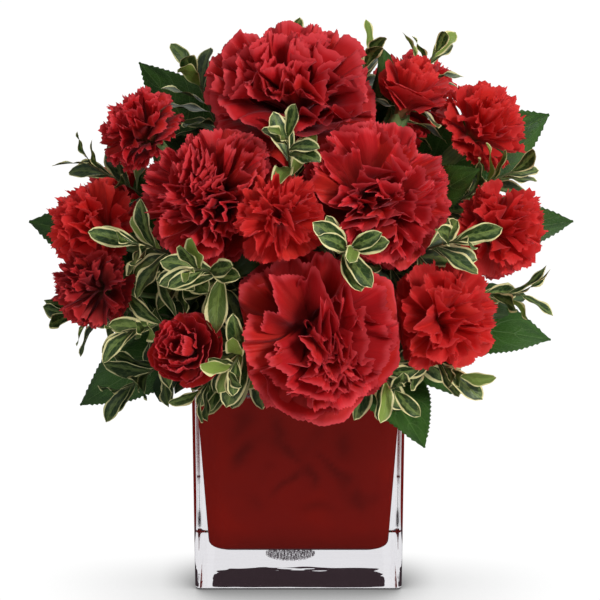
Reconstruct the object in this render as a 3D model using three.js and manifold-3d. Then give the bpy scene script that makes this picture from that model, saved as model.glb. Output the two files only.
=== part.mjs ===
// Carnations in a square glass vase, in millimetres, with +Z up.
// The origin is the centre of the vase's underside, and the front of the bouquet looks along -Y.
// A place in the bouquet is a bearing and a rise, in degrees, and a reach from the bouquet's heart.
// Bearing 0 points along +X, bearing 90 along +Y, and rise 90 straight up.

import * as THREE from "three";
import { mergeVertices } from "three/addons/utils/BufferGeometryUtils.js";
import Module from "manifold-3d";

const wasm = await Module();
wasm.setup();

// Driving dimensions
const GAP = 0.3;
const HEART = new THREE.Vector3(0, 0, 158);

const VASE = {
  width: 110,
  height: 114,
  floor: 20,
  footWall: 7.5,
  rimWall: 2,
  edgeRadius: 2,
  cavityRadius: 9,
  cavityFillet: 5,
};
const LINING = { thickness: 0.8, top: 111 };
const WATER = { top: 96, stemClearance: 0.5 };

// A head's layers are angles from its own axis, from the outer petals in to the middle
const FORMS = {
  standard: { columns: 24, columnsPerPetal: 4, seat: 0.42, layers: [103, 78, 52, 26] },
  spray: { columns: 15, columnsPerPetal: 3, seat: 0.42, layers: [99, 66, 32] },
  cup: { columns: 15, columnsPerPetal: 3, seat: 0.6, layers: [64, 43, 22] },
  halfOpen: { columns: 15, columnsPerPetal: 3, seat: 0.7, layers: [58, 38, 18] },
};
const PETAL = {
  thickness: 1.3,
  notch: 0.75,
  edge: 0.98,
  tooth: 0.025,
  valley: 0.6,
  ruffle: 3.5,
  apex: 0.78,
  // The shares of a head's room that its parts take where a neighbour presses on it
  notchRoom: 0.78,
  edgeRoom: 0.97,
  valleyRoom: 0.66,
  apexRoom: 0.8,
};
const SEAT = { angle: 125, overhang: 0.4 };

// Calyxes, with the length and the radii at the foot, the belly and the mouth
const CALYXES = {
  standard: { length: 25, foot: 3.4, belly: 7.2, mouth: 8, sides: 7 },
  spray: { length: 16, foot: 2.2, belly: 4.4, mouth: 4.8, sides: 6 },
};

// Stems and stalks: their radius, that of their branches, and how far past the rim they fork
const STANDARD_STEM = { sides: 5, radius: 2.3, branch: 2.3, fork: 0 };
const SPRAY_STEM = { sides: 5, radius: 1.7, branch: 1.3, fork: 8 };
const TWIG = { sides: 5, radius: 1.2, branch: 0.9, fork: 2 };
const LEAF_STALK = { sides: 5, radius: 1.4, branch: 1.1, fork: 2 };
const STEM_FOOT = 22.3;
const STEM_RIM = 113;

const SPRIG_LEAF = {
  length: 21,
  width: 10,
  thickness: 0.9,
  wave: 0.7,
  fold: 0.12,
  arch: 0.06,
  count: 4,
  spacing: 7.5,
  turnStep: 137.5,
  tilt: 22,
  tiltStep: 9,
  sunk: 0.6,
};
const LARGE_LEAF = {
  thickness: 0.9,
  rows: 6,
  tooth: 0.035,
  wave: 0.6,
  fold: 0.16,
  arch: 0.05,
  sunk: 1.5,
  stalkRise: 0.7,
};

// The flower heads, by bearing, rise and reach of the head's middle, and its own facing
const BLOOMS = [
  { name: "carnation_top", form: "standard", at: [-95, 82, 99], radius: 43, face: [-98, 74] },
  { name: "carnation_left", form: "standard", at: [-124, 42, 101], radius: 36, face: [-130, 40] },
  { name: "carnation_right", form: "standard", at: [-60, 42, 100], radius: 38, face: [-66, 34] },
  { name: "carnation_front", form: "standard", at: [-85, 4, 94], radius: 45, face: [-82, 24] },
  { name: "carnation_back_left", form: "standard", at: [118, 42, 100], radius: 38, face: [118, 44] },
  { name: "carnation_back_right", form: "standard", at: [62, 20, 98], radius: 40, face: [62, 30] },
  { name: "spray_carnation_upper_left", form: "spray", at: [-172, 46, 118], radius: 23, face: [-172, 50] },
  { name: "spray_carnation_left", form: "spray", at: [-161, 20, 117], radius: 26, face: [-156, 30] },
  { name: "spray_carnation_lower_left", form: "spray", at: [-148, 9, 123], radius: 21, face: [-140, 22] },
  { name: "spray_carnation_middle", form: "spray", at: [-96, 36, 111], radius: 25, face: [-98, 38] },
  { name: "spray_carnation_cup", form: "cup", at: [-118, 1, 117], radius: 19, face: [-112, 30] },
  { name: "spray_carnation_half_open", form: "halfOpen", at: [-6, 61, 121], radius: 19, face: [4, 68] },
  { name: "spray_carnation_upper_right", form: "spray", at: [3, 40, 125], radius: 25, face: [2, 44] },
  { name: "spray_carnation_right", form: "spray", at: [-20, 20, 117], radius: 25, face: [-26, 28] },
  { name: "spray_carnation_lower_right", form: "spray", at: [-49, 5, 110], radius: 29, face: [-52, 24] },
  { name: "spray_carnation_back_low_left", form: "spray", at: [150, 12, 110], radius: 26, face: [150, 26] },
  { name: "spray_carnation_back_low", form: "spray", at: [104, 4, 112], radius: 25, face: [104, 22] },
  { name: "spray_carnation_back_top", form: "spray", at: [38, 47, 115], radius: 25, face: [38, 50] },
  { name: "spray_carnation_back_low_right", form: "spray", at: [22, 4, 112], radius: 25, face: [22, 22] },
];

// The flower stems: where each crosses the vase's rim, how far out its foot stands, and what it carries
const FLOWER_STEMS = [
  { name: "stem_top", rim: [-100, 6], foot: 5, heads: ["carnation_top"] },
  { name: "stem_left", rim: [-128, 27], foot: 20, heads: ["carnation_left"] },
  { name: "stem_right", rim: [-58, 28], foot: 20, heads: ["carnation_right"] },
  { name: "stem_front", rim: [-84, 42], foot: 34, heads: ["carnation_front"] },
  { name: "stem_back_left", rim: [118, 28], foot: 20, heads: ["carnation_back_left"] },
  { name: "stem_back_right", rim: [62, 36], foot: 26, heads: ["carnation_back_right"] },
  {
    name: "spray_stem_left",
    rim: [-158, 38],
    foot: 28,
    heads: ["spray_carnation_upper_left", "spray_carnation_left", "spray_carnation_lower_left"],
  },
  {
    name: "spray_stem_front",
    rim: [-106, 34],
    foot: 27,
    heads: ["spray_carnation_middle", "spray_carnation_cup"],
  },
  {
    name: "spray_stem_upper_right",
    rim: [0, 24],
    foot: 16,
    heads: ["spray_carnation_half_open", "spray_carnation_upper_right"],
  },
  {
    name: "spray_stem_right",
    rim: [-34, 40],
    foot: 30,
    heads: ["spray_carnation_right", "spray_carnation_lower_right"],
  },
  {
    name: "spray_stem_back_left",
    rim: [134, 40],
    foot: 31,
    heads: ["spray_carnation_back_low_left", "spray_carnation_back_low"],
  },
  {
    name: "spray_stem_back_right",
    rim: [34, 30],
    foot: 24,
    heads: ["spray_carnation_back_top", "spray_carnation_back_low_right"],
  },
];

// The variegated sprigs: where each crosses the rim, its foot, and the places of its tips
const SPRIGS = [
  { name: "sprig_upper_left", rim: [176, 30], foot: 20, tips: [[178, 64, 123], [-171, 32, 129]] },
  { name: "sprig_centre", rim: [-74, 33], foot: 24, tips: [[-77, 27, 129], [-67, -8, 122]] },
  { name: "sprig_left", rim: [-120, 42], foot: 34, tips: [[-115, 21, 128], [-136, 23, 126]] },
  {
    name: "sprig_low_front",
    rim: [-114, 51],
    foot: 37,
    tips: [[-105, 0, 128], [-132, 3, 126], [-121, -17, 101]],
  },
  { name: "sprig_upper_front", rim: [-88, 16], foot: 13, tips: [[-94, 53, 128]] },
  { name: "sprig_top", rim: [24, 10], foot: 8, tips: [[18, 72, 124], [14, 58, 138]] },
  { name: "sprig_upper_right", rim: [-14, 32], foot: 22, tips: [[-9, 30, 128]] },
  { name: "sprig_right", rim: [-44, 33], foot: 24, tips: [[-46, 24, 126]] },
  { name: "sprig_low_right", rim: [-42, 50], foot: 37, tips: [[-21, 3, 122], [-49, -8, 122]] },
  { name: "sprig_low_left", rim: [-146, 50], foot: 36, tips: [[-156, -1, 126], [-140, -16, 119]] },
  { name: "sprig_back_top", rim: [98, 18], foot: 14, tips: [[92, 54, 124]] },
  { name: "sprig_back_low", rim: [84, 46], foot: 35, tips: [[82, -4, 124]] },
];

// The large leaves: for each stalk, where its leaves start and end, how wide they are, and how far
// their upper face is rolled round the midrib
const LEAF_STALKS = [
  {
    name: "leaves_left",
    rim: [168, 36],
    foot: 26,
    leaves: [
      { root: [170, 4, 66], tip: [177, 11, 145], width: 48, roll: -55 },
      { root: [164, 50, 74], tip: [163, 50, 139], width: 44 },
    ],
  },
  {
    name: "leaf_low_left",
    rim: [-168, 42],
    foot: 33,
    leaves: [{ root: [-166, -30, 60], tip: [-166, -25, 136], width: 44 }],
  },
  {
    name: "leaves_right",
    rim: [10, 36],
    foot: 26,
    leaves: [
      { root: [0, 10, 72], tip: [-2, 14, 148], width: 46 },
      { root: [24, 32, 82], tip: [13, 30, 158], width: 46 },
    ],
  },
  {
    name: "leaf_low_right",
    rim: [-14, 46],
    foot: 36,
    leaves: [{ root: [-12, -22, 64], tip: [-11, -11, 137], width: 44, roll: 60 }],
  },
  {
    name: "leaf_front",
    rim: [-56, 55],
    foot: 41,
    leaves: [{ root: [-56, -26, 66], tip: [-58, -24, 130], width: 40 }],
  },
  {
    name: "leaf_top",
    rim: [-20, 12],
    foot: 10,
    leaves: [{ root: [12, 64, 72], tip: [17, 66, 132], width: 32, roll: 90 }],
  },
  {
    name: "leaf_middle_right",
    rim: [-30, 26],
    foot: 18,
    leaves: [{ root: [-26, 36, 84], tip: [-36, 38, 130], width: 26 }],
  },
  {
    name: "leaf_back_low_left",
    rim: [148, 46],
    foot: 36,
    leaves: [{ root: [140, -20, 66], tip: [139, -14, 136], width: 46 }],
  },
  {
    name: "leaf_back_low_right",
    rim: [44, 46],
    foot: 36,
    leaves: [{ root: [44, -20, 66], tip: [42, -12, 136], width: 46 }],
  },
  {
    name: "leaf_back_top",
    rim: [78, 12],
    foot: 9,
    leaves: [{ root: [96, 60, 74], tip: [98, 58, 136], width: 36 }],
  },
];

const FINISH = {
  glass: { color: 0xe4e2e6, roughness: 0.04, metalness: 0 },
  lining: { color: 0x7a1414, roughness: 0.35, metalness: 0 },
  water: { color: 0xcfe0e2, roughness: 0.05, metalness: 0 },
  petal: { color: 0xb0141e, roughness: 0.75, metalness: 0 },
  stem: { color: 0x8aa27c, roughness: 0.6, metalness: 0 },
  sprig: { color: 0x9aa88c, roughness: 0.5, metalness: 0 },
  leaf: { color: 0x2c4a2e, roughness: 0.4, metalness: 0 },
};

const group = new THREE.Group();
const solids = new Map();

function direction(bearing, rise) {
  const turn = THREE.MathUtils.degToRad(bearing);
  const lift = THREE.MathUtils.degToRad(rise);
  const flat = Math.cos(lift);
  return new THREE.Vector3(flat * Math.cos(turn), flat * Math.sin(turn), Math.sin(lift));
}

function place([bearing, rise, reach]) {
  return direction(bearing, rise).multiplyScalar(reach).add(HEART);
}

// A point at a bearing and a radius round the vase's axis
function level([bearing, radius], z) {
  return direction(bearing, 0).multiplyScalar(radius).setZ(z);
}

// Seeded random numbers from 0 to 1
function seeded(seed) {
  let state = seed * 7919 + 17;
  return () => {
    state = (state * 16807) % 2147483647;
    return state / 2147483647;
  };
}

// Turns a closed geometry into a solid
function toSolid(geometry) {
  const plain = geometry.clone();
  plain.deleteAttribute("normal");
  plain.deleteAttribute("uv");
  const merged = mergeVertices(plain, 1e-4);
  const index = merged.index.array;
  const kept = [];
  for (let i = 0; i < index.length; i += 3) {
    const [a, b, c] = [index[i], index[i + 1], index[i + 2]];
    if (a !== b && b !== c && c !== a) kept.push(a, b, c);
  }
  const mesh = new wasm.Mesh({
    numProp: 3,
    vertProperties: new Float32Array(merged.attributes.position.array),
    triVerts: new Uint32Array(kept),
  });
  return new wasm.Manifold(mesh);
}

function toGeometry(solid) {
  const { vertProperties, triVerts } = solid.getMesh();
  const geometry = new THREE.BufferGeometry();
  geometry.setAttribute("position", new THREE.BufferAttribute(vertProperties, 3));
  geometry.setIndex(new THREE.BufferAttribute(triVerts, 1));
  return geometry;
}

function join(parts) {
  return parts.reduce((whole, part) => whole.add(part));
}

function addPart(name, solid, finish) {
  const mesh = new THREE.Mesh(toGeometry(solid), new THREE.MeshStandardMaterial(FINISH[finish]));
  mesh.geometry.computeVertexNormals();
  mesh.name = name;
  group.add(mesh);
  solids.set(name, solid);
}

function geometryFrom(points, triangles) {
  const geometry = new THREE.BufferGeometry().setFromPoints(points);
  geometry.setIndex(triangles);
  return geometry;
}

// A closed body through rings of the same number of points, with a flat fan at each end
function loft(rings) {
  const count = rings[0].length;
  const points = rings.flat();
  const triangles = [];
  for (let row = 0; row + 1 < rings.length; row += 1) {
    for (let i = 0; i < count; i += 1) {
      const next = (i + 1) % count;
      const [a, b] = [row * count + i, row * count + next];
      triangles.push(a, b, b + count, a, b + count, a + count);
    }
  }
  const last = (rings.length - 1) * count;
  for (let i = 1; i + 1 < count; i += 1) {
    triangles.push(0, i + 1, i);
    triangles.push(last, last + i, last + i + 1);
  }
  return toSolid(geometryFrom(points, triangles));
}

// A square ring with round corners
function squareRing(half, radius, z, steps = 3) {
  const ring = [];
  for (let corner = 0; corner < 4; corner += 1) {
    const start = (corner * Math.PI) / 2;
    const middle = new THREE.Vector3(half - radius, half - radius, z);
    middle.applyAxisAngle(new THREE.Vector3(0, 0, 1), start);
    for (let i = 0; i <= steps; i += 1) {
      const angle = start + ((Math.PI / 2) * i) / steps;
      const spoke = new THREE.Vector3(Math.cos(angle), Math.sin(angle), 0);
      ring.push(middle.clone().addScaledVector(spoke, radius));
    }
  }
  return ring;
}

// The rings of the vase's cavity, from its floor to a height, moved in by an inset
function cavityRings(inset, top) {
  const halfAt = (z) => {
    const share = (z - VASE.floor) / (VASE.height - VASE.floor);
    return VASE.width / 2 - THREE.MathUtils.lerp(VASE.footWall, VASE.rimWall, share) - inset;
  };
  const rings = [];
  for (const angle of [0, 30, 60, 90]) {
    const turn = THREE.MathUtils.degToRad(angle);
    const z = VASE.floor + inset + VASE.cavityFillet * (1 - Math.cos(turn));
    const half = halfAt(z) - VASE.cavityFillet * (1 - Math.sin(turn));
    rings.push(squareRing(half, VASE.cavityRadius - inset, z));
  }
  rings.push(squareRing(halfAt(top), VASE.cavityRadius - inset, top));
  return rings;
}

function vase() {
  const half = VASE.width / 2;
  const edge = VASE.edgeRadius;
  const outside = [
    squareRing(half - edge, edge, 0),
    squareRing(half - edge * 0.3, edge, edge * 0.3),
    squareRing(half, edge, edge),
    squareRing(half, edge, VASE.height),
  ];
  return loft([...outside, ...cavityRings(0, VASE.height).reverse()]);
}

function lining() {
  const outside = cavityRings(GAP, LINING.top);
  const inside = cavityRings(GAP + LINING.thickness, LINING.top);
  return loft([...outside, ...inside.reverse()]);
}

function water(stems) {
  const body = loft(cavityRings(2 * GAP + LINING.thickness, WATER.top));
  return stems.reduce((rest, { foot, rim, radius, sides }) => {
    const below = foot.clone().lerp(rim, -0.3);
    const hole = new THREE.LineCurve3(below, foot.clone().lerp(rim, 1.1));
    return rest.subtract(tube(hole, radius + WATER.stemClearance, sides, 1));
  }, body);
}

// A tube along a curve
function tube(curve, radius, sides, steps) {
  const corners = [];
  for (let i = 0; i < sides; i += 1) {
    const angle = (2 * Math.PI * i) / sides;
    corners.push(new THREE.Vector2(radius * Math.cos(angle), radius * Math.sin(angle)));
  }
  const settings = { steps, bevelEnabled: false, extrudePath: curve };
  return toSolid(new THREE.ExtrudeGeometry(new THREE.Shape(corners), settings));
}

// The part of a stem below the fork is straight, and each branch bends from it to its end
function branchCurve(from, along, to, facing) {
  const pull = from.distanceTo(to) * 0.42;
  const first = from.clone().addScaledVector(along, pull);
  const second = to.clone().addScaledVector(facing, -pull);
  return new THREE.CubicBezierCurve3(from, first, second, to);
}

// Half-spaces that keep a head clear of its neighbours and of the stems beside it
function headCuts(bloom, blooms, runs) {
  const cuts = [];
  for (const other of blooms) {
    const apart = other.middle.distanceTo(bloom.middle);
    if (other === bloom || apart > bloom.radius + other.radius) continue;
    const normal = other.middle.clone().sub(bloom.middle).divideScalar(apart);
    const share = (apart ** 2 + bloom.radius ** 2 - other.radius ** 2) / (2 * apart);
    cuts.push({ normal, offset: bloom.middle.dot(normal) + share - GAP });
  }
  for (const run of runs) {
    if (run.head === bloom.name) continue;
    const spots = run.curve.getSpacedPoints(40);
    const nearest = spots.reduce((best, spot) =>
      (spot.distanceTo(bloom.middle) < best.distanceTo(bloom.middle) ? spot : best));
    const apart = nearest.distanceTo(bloom.middle);
    if (apart > bloom.radius + run.radius + 1) continue;
    const normal = nearest.clone().sub(bloom.middle).divideScalar(apart);
    cuts.push({ normal, offset: nearest.dot(normal) - run.radius - 3 * GAP });
  }
  return cuts;
}

// A flower head: rings of ruffled petals with toothed edges that stand out of a smaller core
function bloomSolid(bloom, cuts) {
  const form = FORMS[bloom.form];
  const random = seeded(bloom.seed);
  const across = new THREE.Vector3().crossVectors(bloom.facing, new THREE.Vector3(0.3, 0.2, 1)).normalize();
  const upward = new THREE.Vector3().crossVectors(bloom.facing, across);
  const reachTo = (turn) => {
    const depth = form.seat * bloom.radius;
    return depth * Math.cos(turn) + Math.sqrt(bloom.radius ** 2 - (depth * Math.sin(turn)) ** 2);
  };
  const wayTo = (turn, column) => {
    const spin = (2 * Math.PI * column) / form.columns;
    const way = bloom.facing.clone().multiplyScalar(Math.cos(turn));
    way.addScaledVector(across, Math.sin(turn) * Math.cos(spin));
    return way.addScaledVector(upward, Math.sin(turn) * Math.sin(spin));
  };
  const point = (angle, column, share, room) => {
    const turn = THREE.MathUtils.degToRad(angle);
    const way = wayTo(turn, column);
    let reach = reachTo(turn) * share;
    for (const { normal, offset } of cuts) {
      const slope = way.dot(normal);
      const free = room * (offset - bloom.origin.dot(normal));
      if (slope > 0) reach = Math.min(reach, free / slope);
    }
    return bloom.origin.clone().addScaledVector(way, reach);
  };
  const columns = [...Array(form.columns).keys()];
  const under = THREE.MathUtils.degToRad(SEAT.angle);
  const seatReach = -bloom.seatDepth / Math.cos(under);
  const rows = [columns.map((i) => bloom.origin.clone().addScaledVector(wayTo(under, i), seatReach))];
  form.layers.forEach((angle, layer) => {
    const half = THREE.MathUtils.radToDeg(PETAL.thickness / 2 / bloom.radius);
    const edges = columns.map((i) => {
      const between = (i + layer * 2) % form.columnsPerPetal === 0;
      const sign = i % 2 ? 1 : -1;
      const toothed = PETAL.edge + sign * PETAL.tooth * (0.6 + 0.8 * random());
      return {
        share: between ? PETAL.notch + 0.06 * random() : toothed,
        angle: angle + sign * PETAL.ruffle * (0.5 + 0.7 * random()),
        column: i + 0.35 * (random() - 0.5),
        room: between ? PETAL.notchRoom : PETAL.edgeRoom - 0.09 * random(),
      };
    });
    rows.push(edges.map((edge) => point(edge.angle + half, edge.column, edge.share, edge.room)));
    rows.push(edges.map((edge) => point(edge.angle - half, edge.column, edge.share, edge.room)));
    const inner = form.layers[layer + 1] ?? 0;
    const share = PETAL.valley + 0.05 * layer;
    const deep = (i) => point((angle + inner) / 2, i, share + 0.04 * random(), PETAL.valleyRoom);
    rows.push(columns.map(deep));
  });
  const bottom = bloom.origin.clone().addScaledVector(bloom.facing, -bloom.seatDepth);
  return capped(rows, bottom, point(0, 0, PETAL.apex, PETAL.apexRoom));
}

// A closed body through rings, with a point at each end
function capped(rows, first, last) {
  const count = rows[0].length;
  const points = [...rows.flat(), first, last];
  const [bottom, top] = [points.length - 2, points.length - 1];
  const triangles = [];
  for (let i = 0; i < count; i += 1) {
    const next = (i + 1) % count;
    triangles.push(bottom, next, i);
    triangles.push(top, (rows.length - 1) * count + i, (rows.length - 1) * count + next);
    for (let row = 0; row + 1 < rows.length; row += 1) {
      const [a, b] = [row * count + i, row * count + next];
      triangles.push(a, b, b + count, a, b + count, a + count);
    }
  }
  return toSolid(geometryFrom(points, triangles));
}

function calyx(bloom) {
  const size = bloom.calyx;
  const profile = [
    new THREE.Vector2(0, 0),
    new THREE.Vector2(size.foot, 0),
    new THREE.Vector2(size.belly, size.length * 0.4),
    new THREE.Vector2(size.mouth, size.length),
    new THREE.Vector2(0, size.length),
  ];
  const geometry = new THREE.LatheGeometry(profile, size.sides);
  const upright = new THREE.Vector3(0, 1, 0);
  geometry.applyQuaternion(new THREE.Quaternion().setFromUnitVectors(upright, bloom.facing));
  geometry.translate(...bloom.base.toArray());
  return toSolid(geometry);
}

// A leaf blade between two points, folded along its midrib, with a waved or toothed edge
function blade({ root, tip, normal, width, thickness, rows, midrib, outline, edge, fold, arch }) {
  const along = tip.clone().sub(root);
  const length = along.length();
  along.normalize();
  const side = new THREE.Vector3().crossVectors(normal, along).normalize();
  const up = new THREE.Vector3().crossVectors(along, side);
  const spot = (share, offset, lift) => root.clone()
    .addScaledVector(along, share * length)
    .addScaledVector(side, offset)
    .addScaledVector(up, lift + arch * length * Math.sin(Math.PI * share));
  const signs = midrib ? [-1, 0, 1] : [-1, 1];
  const middle = [spot(0, 0, 0)];
  for (let row = 1; row <= rows; row += 1) {
    const share = row / (rows + 1);
    const half = (width / 2) * outline(share);
    for (const sign of signs) {
      const { reach, lift } = edge(row, sign);
      middle.push(spot(share, sign * half * reach, Math.abs(sign) * (fold * half + lift)));
    }
  }
  middle.push(spot(1, 0, 0));
  const last = middle.length - 1;
  const across = signs.length;
  const face = [];
  for (let i = 0; i + 1 < across; i += 1) {
    face.push([0, 2 + i, 1 + i], [last, last - across + i, last - across + i + 1]);
    for (let row = 0; row + 1 < rows; row += 1) {
      const near = 1 + row * across + i;
      const far = near + across;
      if ((i + row) % 2) face.push([near, near + 1, far], [near + 1, far + 1, far]);
      else face.push([near, near + 1, far + 1], [near, far + 1, far]);
    }
  }
  const rim = [0];
  for (let row = 1; row <= rows; row += 1) rim.push(row * across);
  rim.push(last);
  for (let row = rows; row >= 1; row -= 1) rim.push((row - 1) * across + 1);
  const lower = middle.length;
  const points = [
    ...middle.map((spotAt) => spotAt.clone().addScaledVector(up, thickness / 2)),
    ...middle.map((spotAt) => spotAt.clone().addScaledVector(up, -thickness / 2)),
  ];
  const triangles = [];
  for (const [a, b, c] of face) triangles.push(a, c, b, a + lower, b + lower, c + lower);
  rim.forEach((a, i) => {
    const b = rim[(i + 1) % rim.length];
    triangles.push(a, b + lower, a + lower, a, b, b + lower);
  });
  return toSolid(geometryFrom(points, triangles));
}

function boxesNear(a, b, room) {
  const [first, second] = [a.boundingBox(), b.boundingBox()];
  return [0, 1, 2].every((axis) =>
    first.min[axis] - room < second.max[axis] && second.min[axis] - room < first.max[axis]);
}

function isClear(solid, others) {
  return others.every((other) => !boxesNear(solid, other, GAP) || solid.minGap(other, 2 * GAP) > GAP);
}

// The first of several tries that is clear of everything placed so far
function firstClear(tries, others) {
  for (const attempt of tries) {
    const solid = attempt();
    if (isClear(solid, others)) return solid;
  }
  return null;
}

// Where a stalk's runs go: straight from the vase's floor past the rim, then a bend to each end
function route(stem, ends, size) {
  const foot = level([stem.rim[0], stem.foot], STEM_FOOT);
  const rim = level(stem.rim, STEM_RIM);
  const along = rim.clone().sub(foot).normalize();
  const fork = rim.clone().addScaledVector(along, size.fork);
  const runs = ends.map((end, i) => {
    const curve = new THREE.CurvePath();
    if (i === 0) curve.add(new THREE.LineCurve3(foot, fork));
    curve.add(branchCurve(fork, along, end.point, end.facing));
    const steps = i === 0 ? 6 : 3;
    const spots = curve.getSpacedPoints(steps);
    const chords = new THREE.CurvePath();
    for (let k = 0; k < steps; k += 1) chords.add(new THREE.LineCurve3(spots[k], spots[k + 1]));
    return { curve, chords, steps, radius: i === 0 ? size.radius : size.branch, head: end.head };
  });
  return { name: stem.name, foot, rim, runs, radius: size.radius, sides: size.sides };
}

// Places the heads
const blooms = BLOOMS.map((bloom, i) => {
  const facing = direction(...bloom.face);
  const middle = place(bloom.at);
  const size = CALYXES[bloom.form === "standard" ? "standard" : "spray"];
  const origin = middle.clone().addScaledVector(facing, -FORMS[bloom.form].seat * bloom.radius);
  const seatDepth = -(size.mouth + SEAT.overhang) / Math.tan(THREE.MathUtils.degToRad(SEAT.angle));
  const base = origin.clone().addScaledVector(facing, -seatDepth - GAP - size.length);
  return { ...bloom, seed: i + 1, facing, middle, origin, seatDepth, base, calyx: size };
});
const bloomNamed = new Map(blooms.map((bloom) => [bloom.name, bloom]));

const flowerStems = FLOWER_STEMS.map((stem) => {
  const ends = stem.heads.map((name) => {
    const bloom = bloomNamed.get(name);
    const sunk = bloom.base.clone().addScaledVector(bloom.facing, bloom.calyx.length * 0.15);
    return { point: sunk, facing: bloom.facing, head: name };
  });
  return route(stem, ends, stem.heads.length > 1 ? SPRAY_STEM : STANDARD_STEM);
});

const sprigs = SPRIGS.map((sprig) => {
  const ends = sprig.tips.map((tip) => ({ point: place(tip), facing: direction(tip[0], tip[1]) }));
  return route(sprig, ends, TWIG);
});

const leafStalks = LEAF_STALKS.map((stalk) => {
  const ends = stalk.leaves.map((leaf) => {
    const root = place(leaf.root);
    const facing = place(leaf.tip).sub(root).normalize();
    facing.z += LARGE_LEAF.stalkRise;
    return { point: root, facing: facing.normalize() };
  });
  return route(stalk, ends, LEAF_STALK);
});

const allStems = [...flowerStems, ...sprigs, ...leafStalks];
const allRuns = allStems.flatMap((stem) => stem.runs);

addPart("vase", vase(), "glass");
addPart("vase_lining", lining(), "lining");
addPart("water", water(allStems), "water");

for (const bloom of blooms) {
  addPart(bloom.name, bloomSolid(bloom, headCuts(bloom, blooms, allRuns)), "petal");
}

function stalkSolid(stem) {
  return join(stem.runs.map((run) => tube(run.curve, run.radius, stem.sides, run.steps)));
}

for (const stem of flowerStems) {
  const cups = stem.runs.map((run) => calyx(bloomNamed.get(run.head)));
  addPart(stem.name, join([stalkSolid(stem), ...cups]), "stem");
}

// The other stalks stand first, so that each blade can keep clear of all of them
const stalkSolids = new Map([...sprigs, ...leafStalks].map((stem) => [stem.name, stalkSolid(stem)]));

function othersOf(name) {
  const stalks = [...stalkSolids].filter(([other]) => other !== name && !solids.has(other));
  return [...solids.values(), ...stalks.map(([, solid]) => solid)];
}

function turned(vector, axis, degrees) {
  return vector.clone().applyAxisAngle(axis, THREE.MathUtils.degToRad(degrees));
}

// A large leaf, tried with its plane turned or its tip moved until it is clear
function largeLeaf(leaf, chords, others) {
  const root = chords.getPointAt(1 - LARGE_LEAF.sunk / chords.getLength());
  const upper = direction(leaf.tip[0], leaf.tip[1] + 80);
  const tries = [];
  for (const roll of [0, 15, -15, 30, -30, 50, -50, 75, -75, 90]) {
    for (const shift of [0, 5, -5, 10, -10]) {
      tries.push(() => {
        const tip = place(leaf.tip);
        const normal = turned(upper, tip.clone().sub(root).normalize(), (leaf.roll ?? 0) + roll);
        return blade({
          ...LARGE_LEAF,
          root,
          tip: tip.addScaledVector(normal, shift),
          normal,
          width: leaf.width,
          midrib: true,
          outline: (share) => Math.sin(Math.PI * share ** 0.8) ** 0.75,
          edge: (row) => {
            const sign = row % 2 ? 1 : -1;
            return { reach: 1 + sign * LARGE_LEAF.tooth, lift: sign * LARGE_LEAF.wave };
          },
        });
      });
    }
  }
  return firstClear(tries, others);
}

for (const [i, stem] of leafStalks.entries()) {
  const parts = [stalkSolids.get(stem.name)];
  for (const [k, leaf] of LEAF_STALKS[i].leaves.entries()) {
    const solid = largeLeaf(leaf, stem.runs[k].chords, othersOf(stem.name));
    if (solid) parts.push(solid);
  }
  addPart(stem.name, join(parts), "leaf");
}

// One small leaf of a sprig, tried at several sizes, turns and tilts round its twig
function sprigLeaf(chords, back, firstTurn, firstTilt, size, others) {
  const share = 1 - back / chords.getLength();
  const root = chords.getPointAt(share);
  const axis = chords.getTangentAt(share);
  const outward = new THREE.Vector3().crossVectors(axis, new THREE.Vector3(0.2, 0.4, 1)).normalize();
  const tries = [];
  for (const scale of [size, 0.85 * size, 0.7 * size]) {
    for (const turn of [0, 25, -25, 50, -50, 75, -75]) {
      for (const tilt of [0, -14, 12]) {
        tries.push(() => {
          const radial = turned(outward, axis, firstTurn + turn);
          const across = new THREE.Vector3().crossVectors(axis, radial);
          const along = turned(axis, across, firstTilt + tilt);
          return blade({
            ...SPRIG_LEAF,
            root,
            tip: root.clone().addScaledVector(along, SPRIG_LEAF.length * scale),
            normal: turned(along, across, -90),
            width: SPRIG_LEAF.width * scale,
            rows: 2,
            midrib: false,
            outline: (part) => (part < 0.5 ? 0.66 : 1),
            edge: (row, sign) => ({ reach: 1, lift: (row % 2 ? 1 : -1) * sign * SPRIG_LEAF.wave }),
          });
        });
      }
    }
  }
  return firstClear(tries, others);
}

for (const [i, sprig] of sprigs.entries()) {
  const leaves = [];
  for (const [tip, run] of sprig.runs.entries()) {
    for (let k = 0; k < SPRIG_LEAF.count; k += 1) {
      const back = SPRIG_LEAF.sunk + k * SPRIG_LEAF.spacing;
      const turn = SPRIG_LEAF.turnStep * k + 60 * i + 90 * tip;
      const tilt = SPRIG_LEAF.tilt + SPRIG_LEAF.tiltStep * k;
      const others = [...othersOf(sprig.name), ...leaves];
      const leaf = sprigLeaf(run.chords, back, turn, tilt, k === 0 ? 0.75 : 1, others);
      if (leaf) leaves.push(leaf);
    }
  }
  addPart(sprig.name, join([stalkSolids.get(sprig.name), ...leaves]), "sprig");
}

export default group;
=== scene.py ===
# Red carnations with variegated sprigs and dark pointed leaves in a square glass vase, in metres.
# A place in the bouquet is a bearing and a rise, in degrees, and a reach from the bouquet's heart.

import logging
import math
from dataclasses import dataclass
from enum import Enum
from itertools import product

import bmesh
import bpy
import numpy as np
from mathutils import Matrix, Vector
from mathutils.bvhtree import BVHTree


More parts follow.
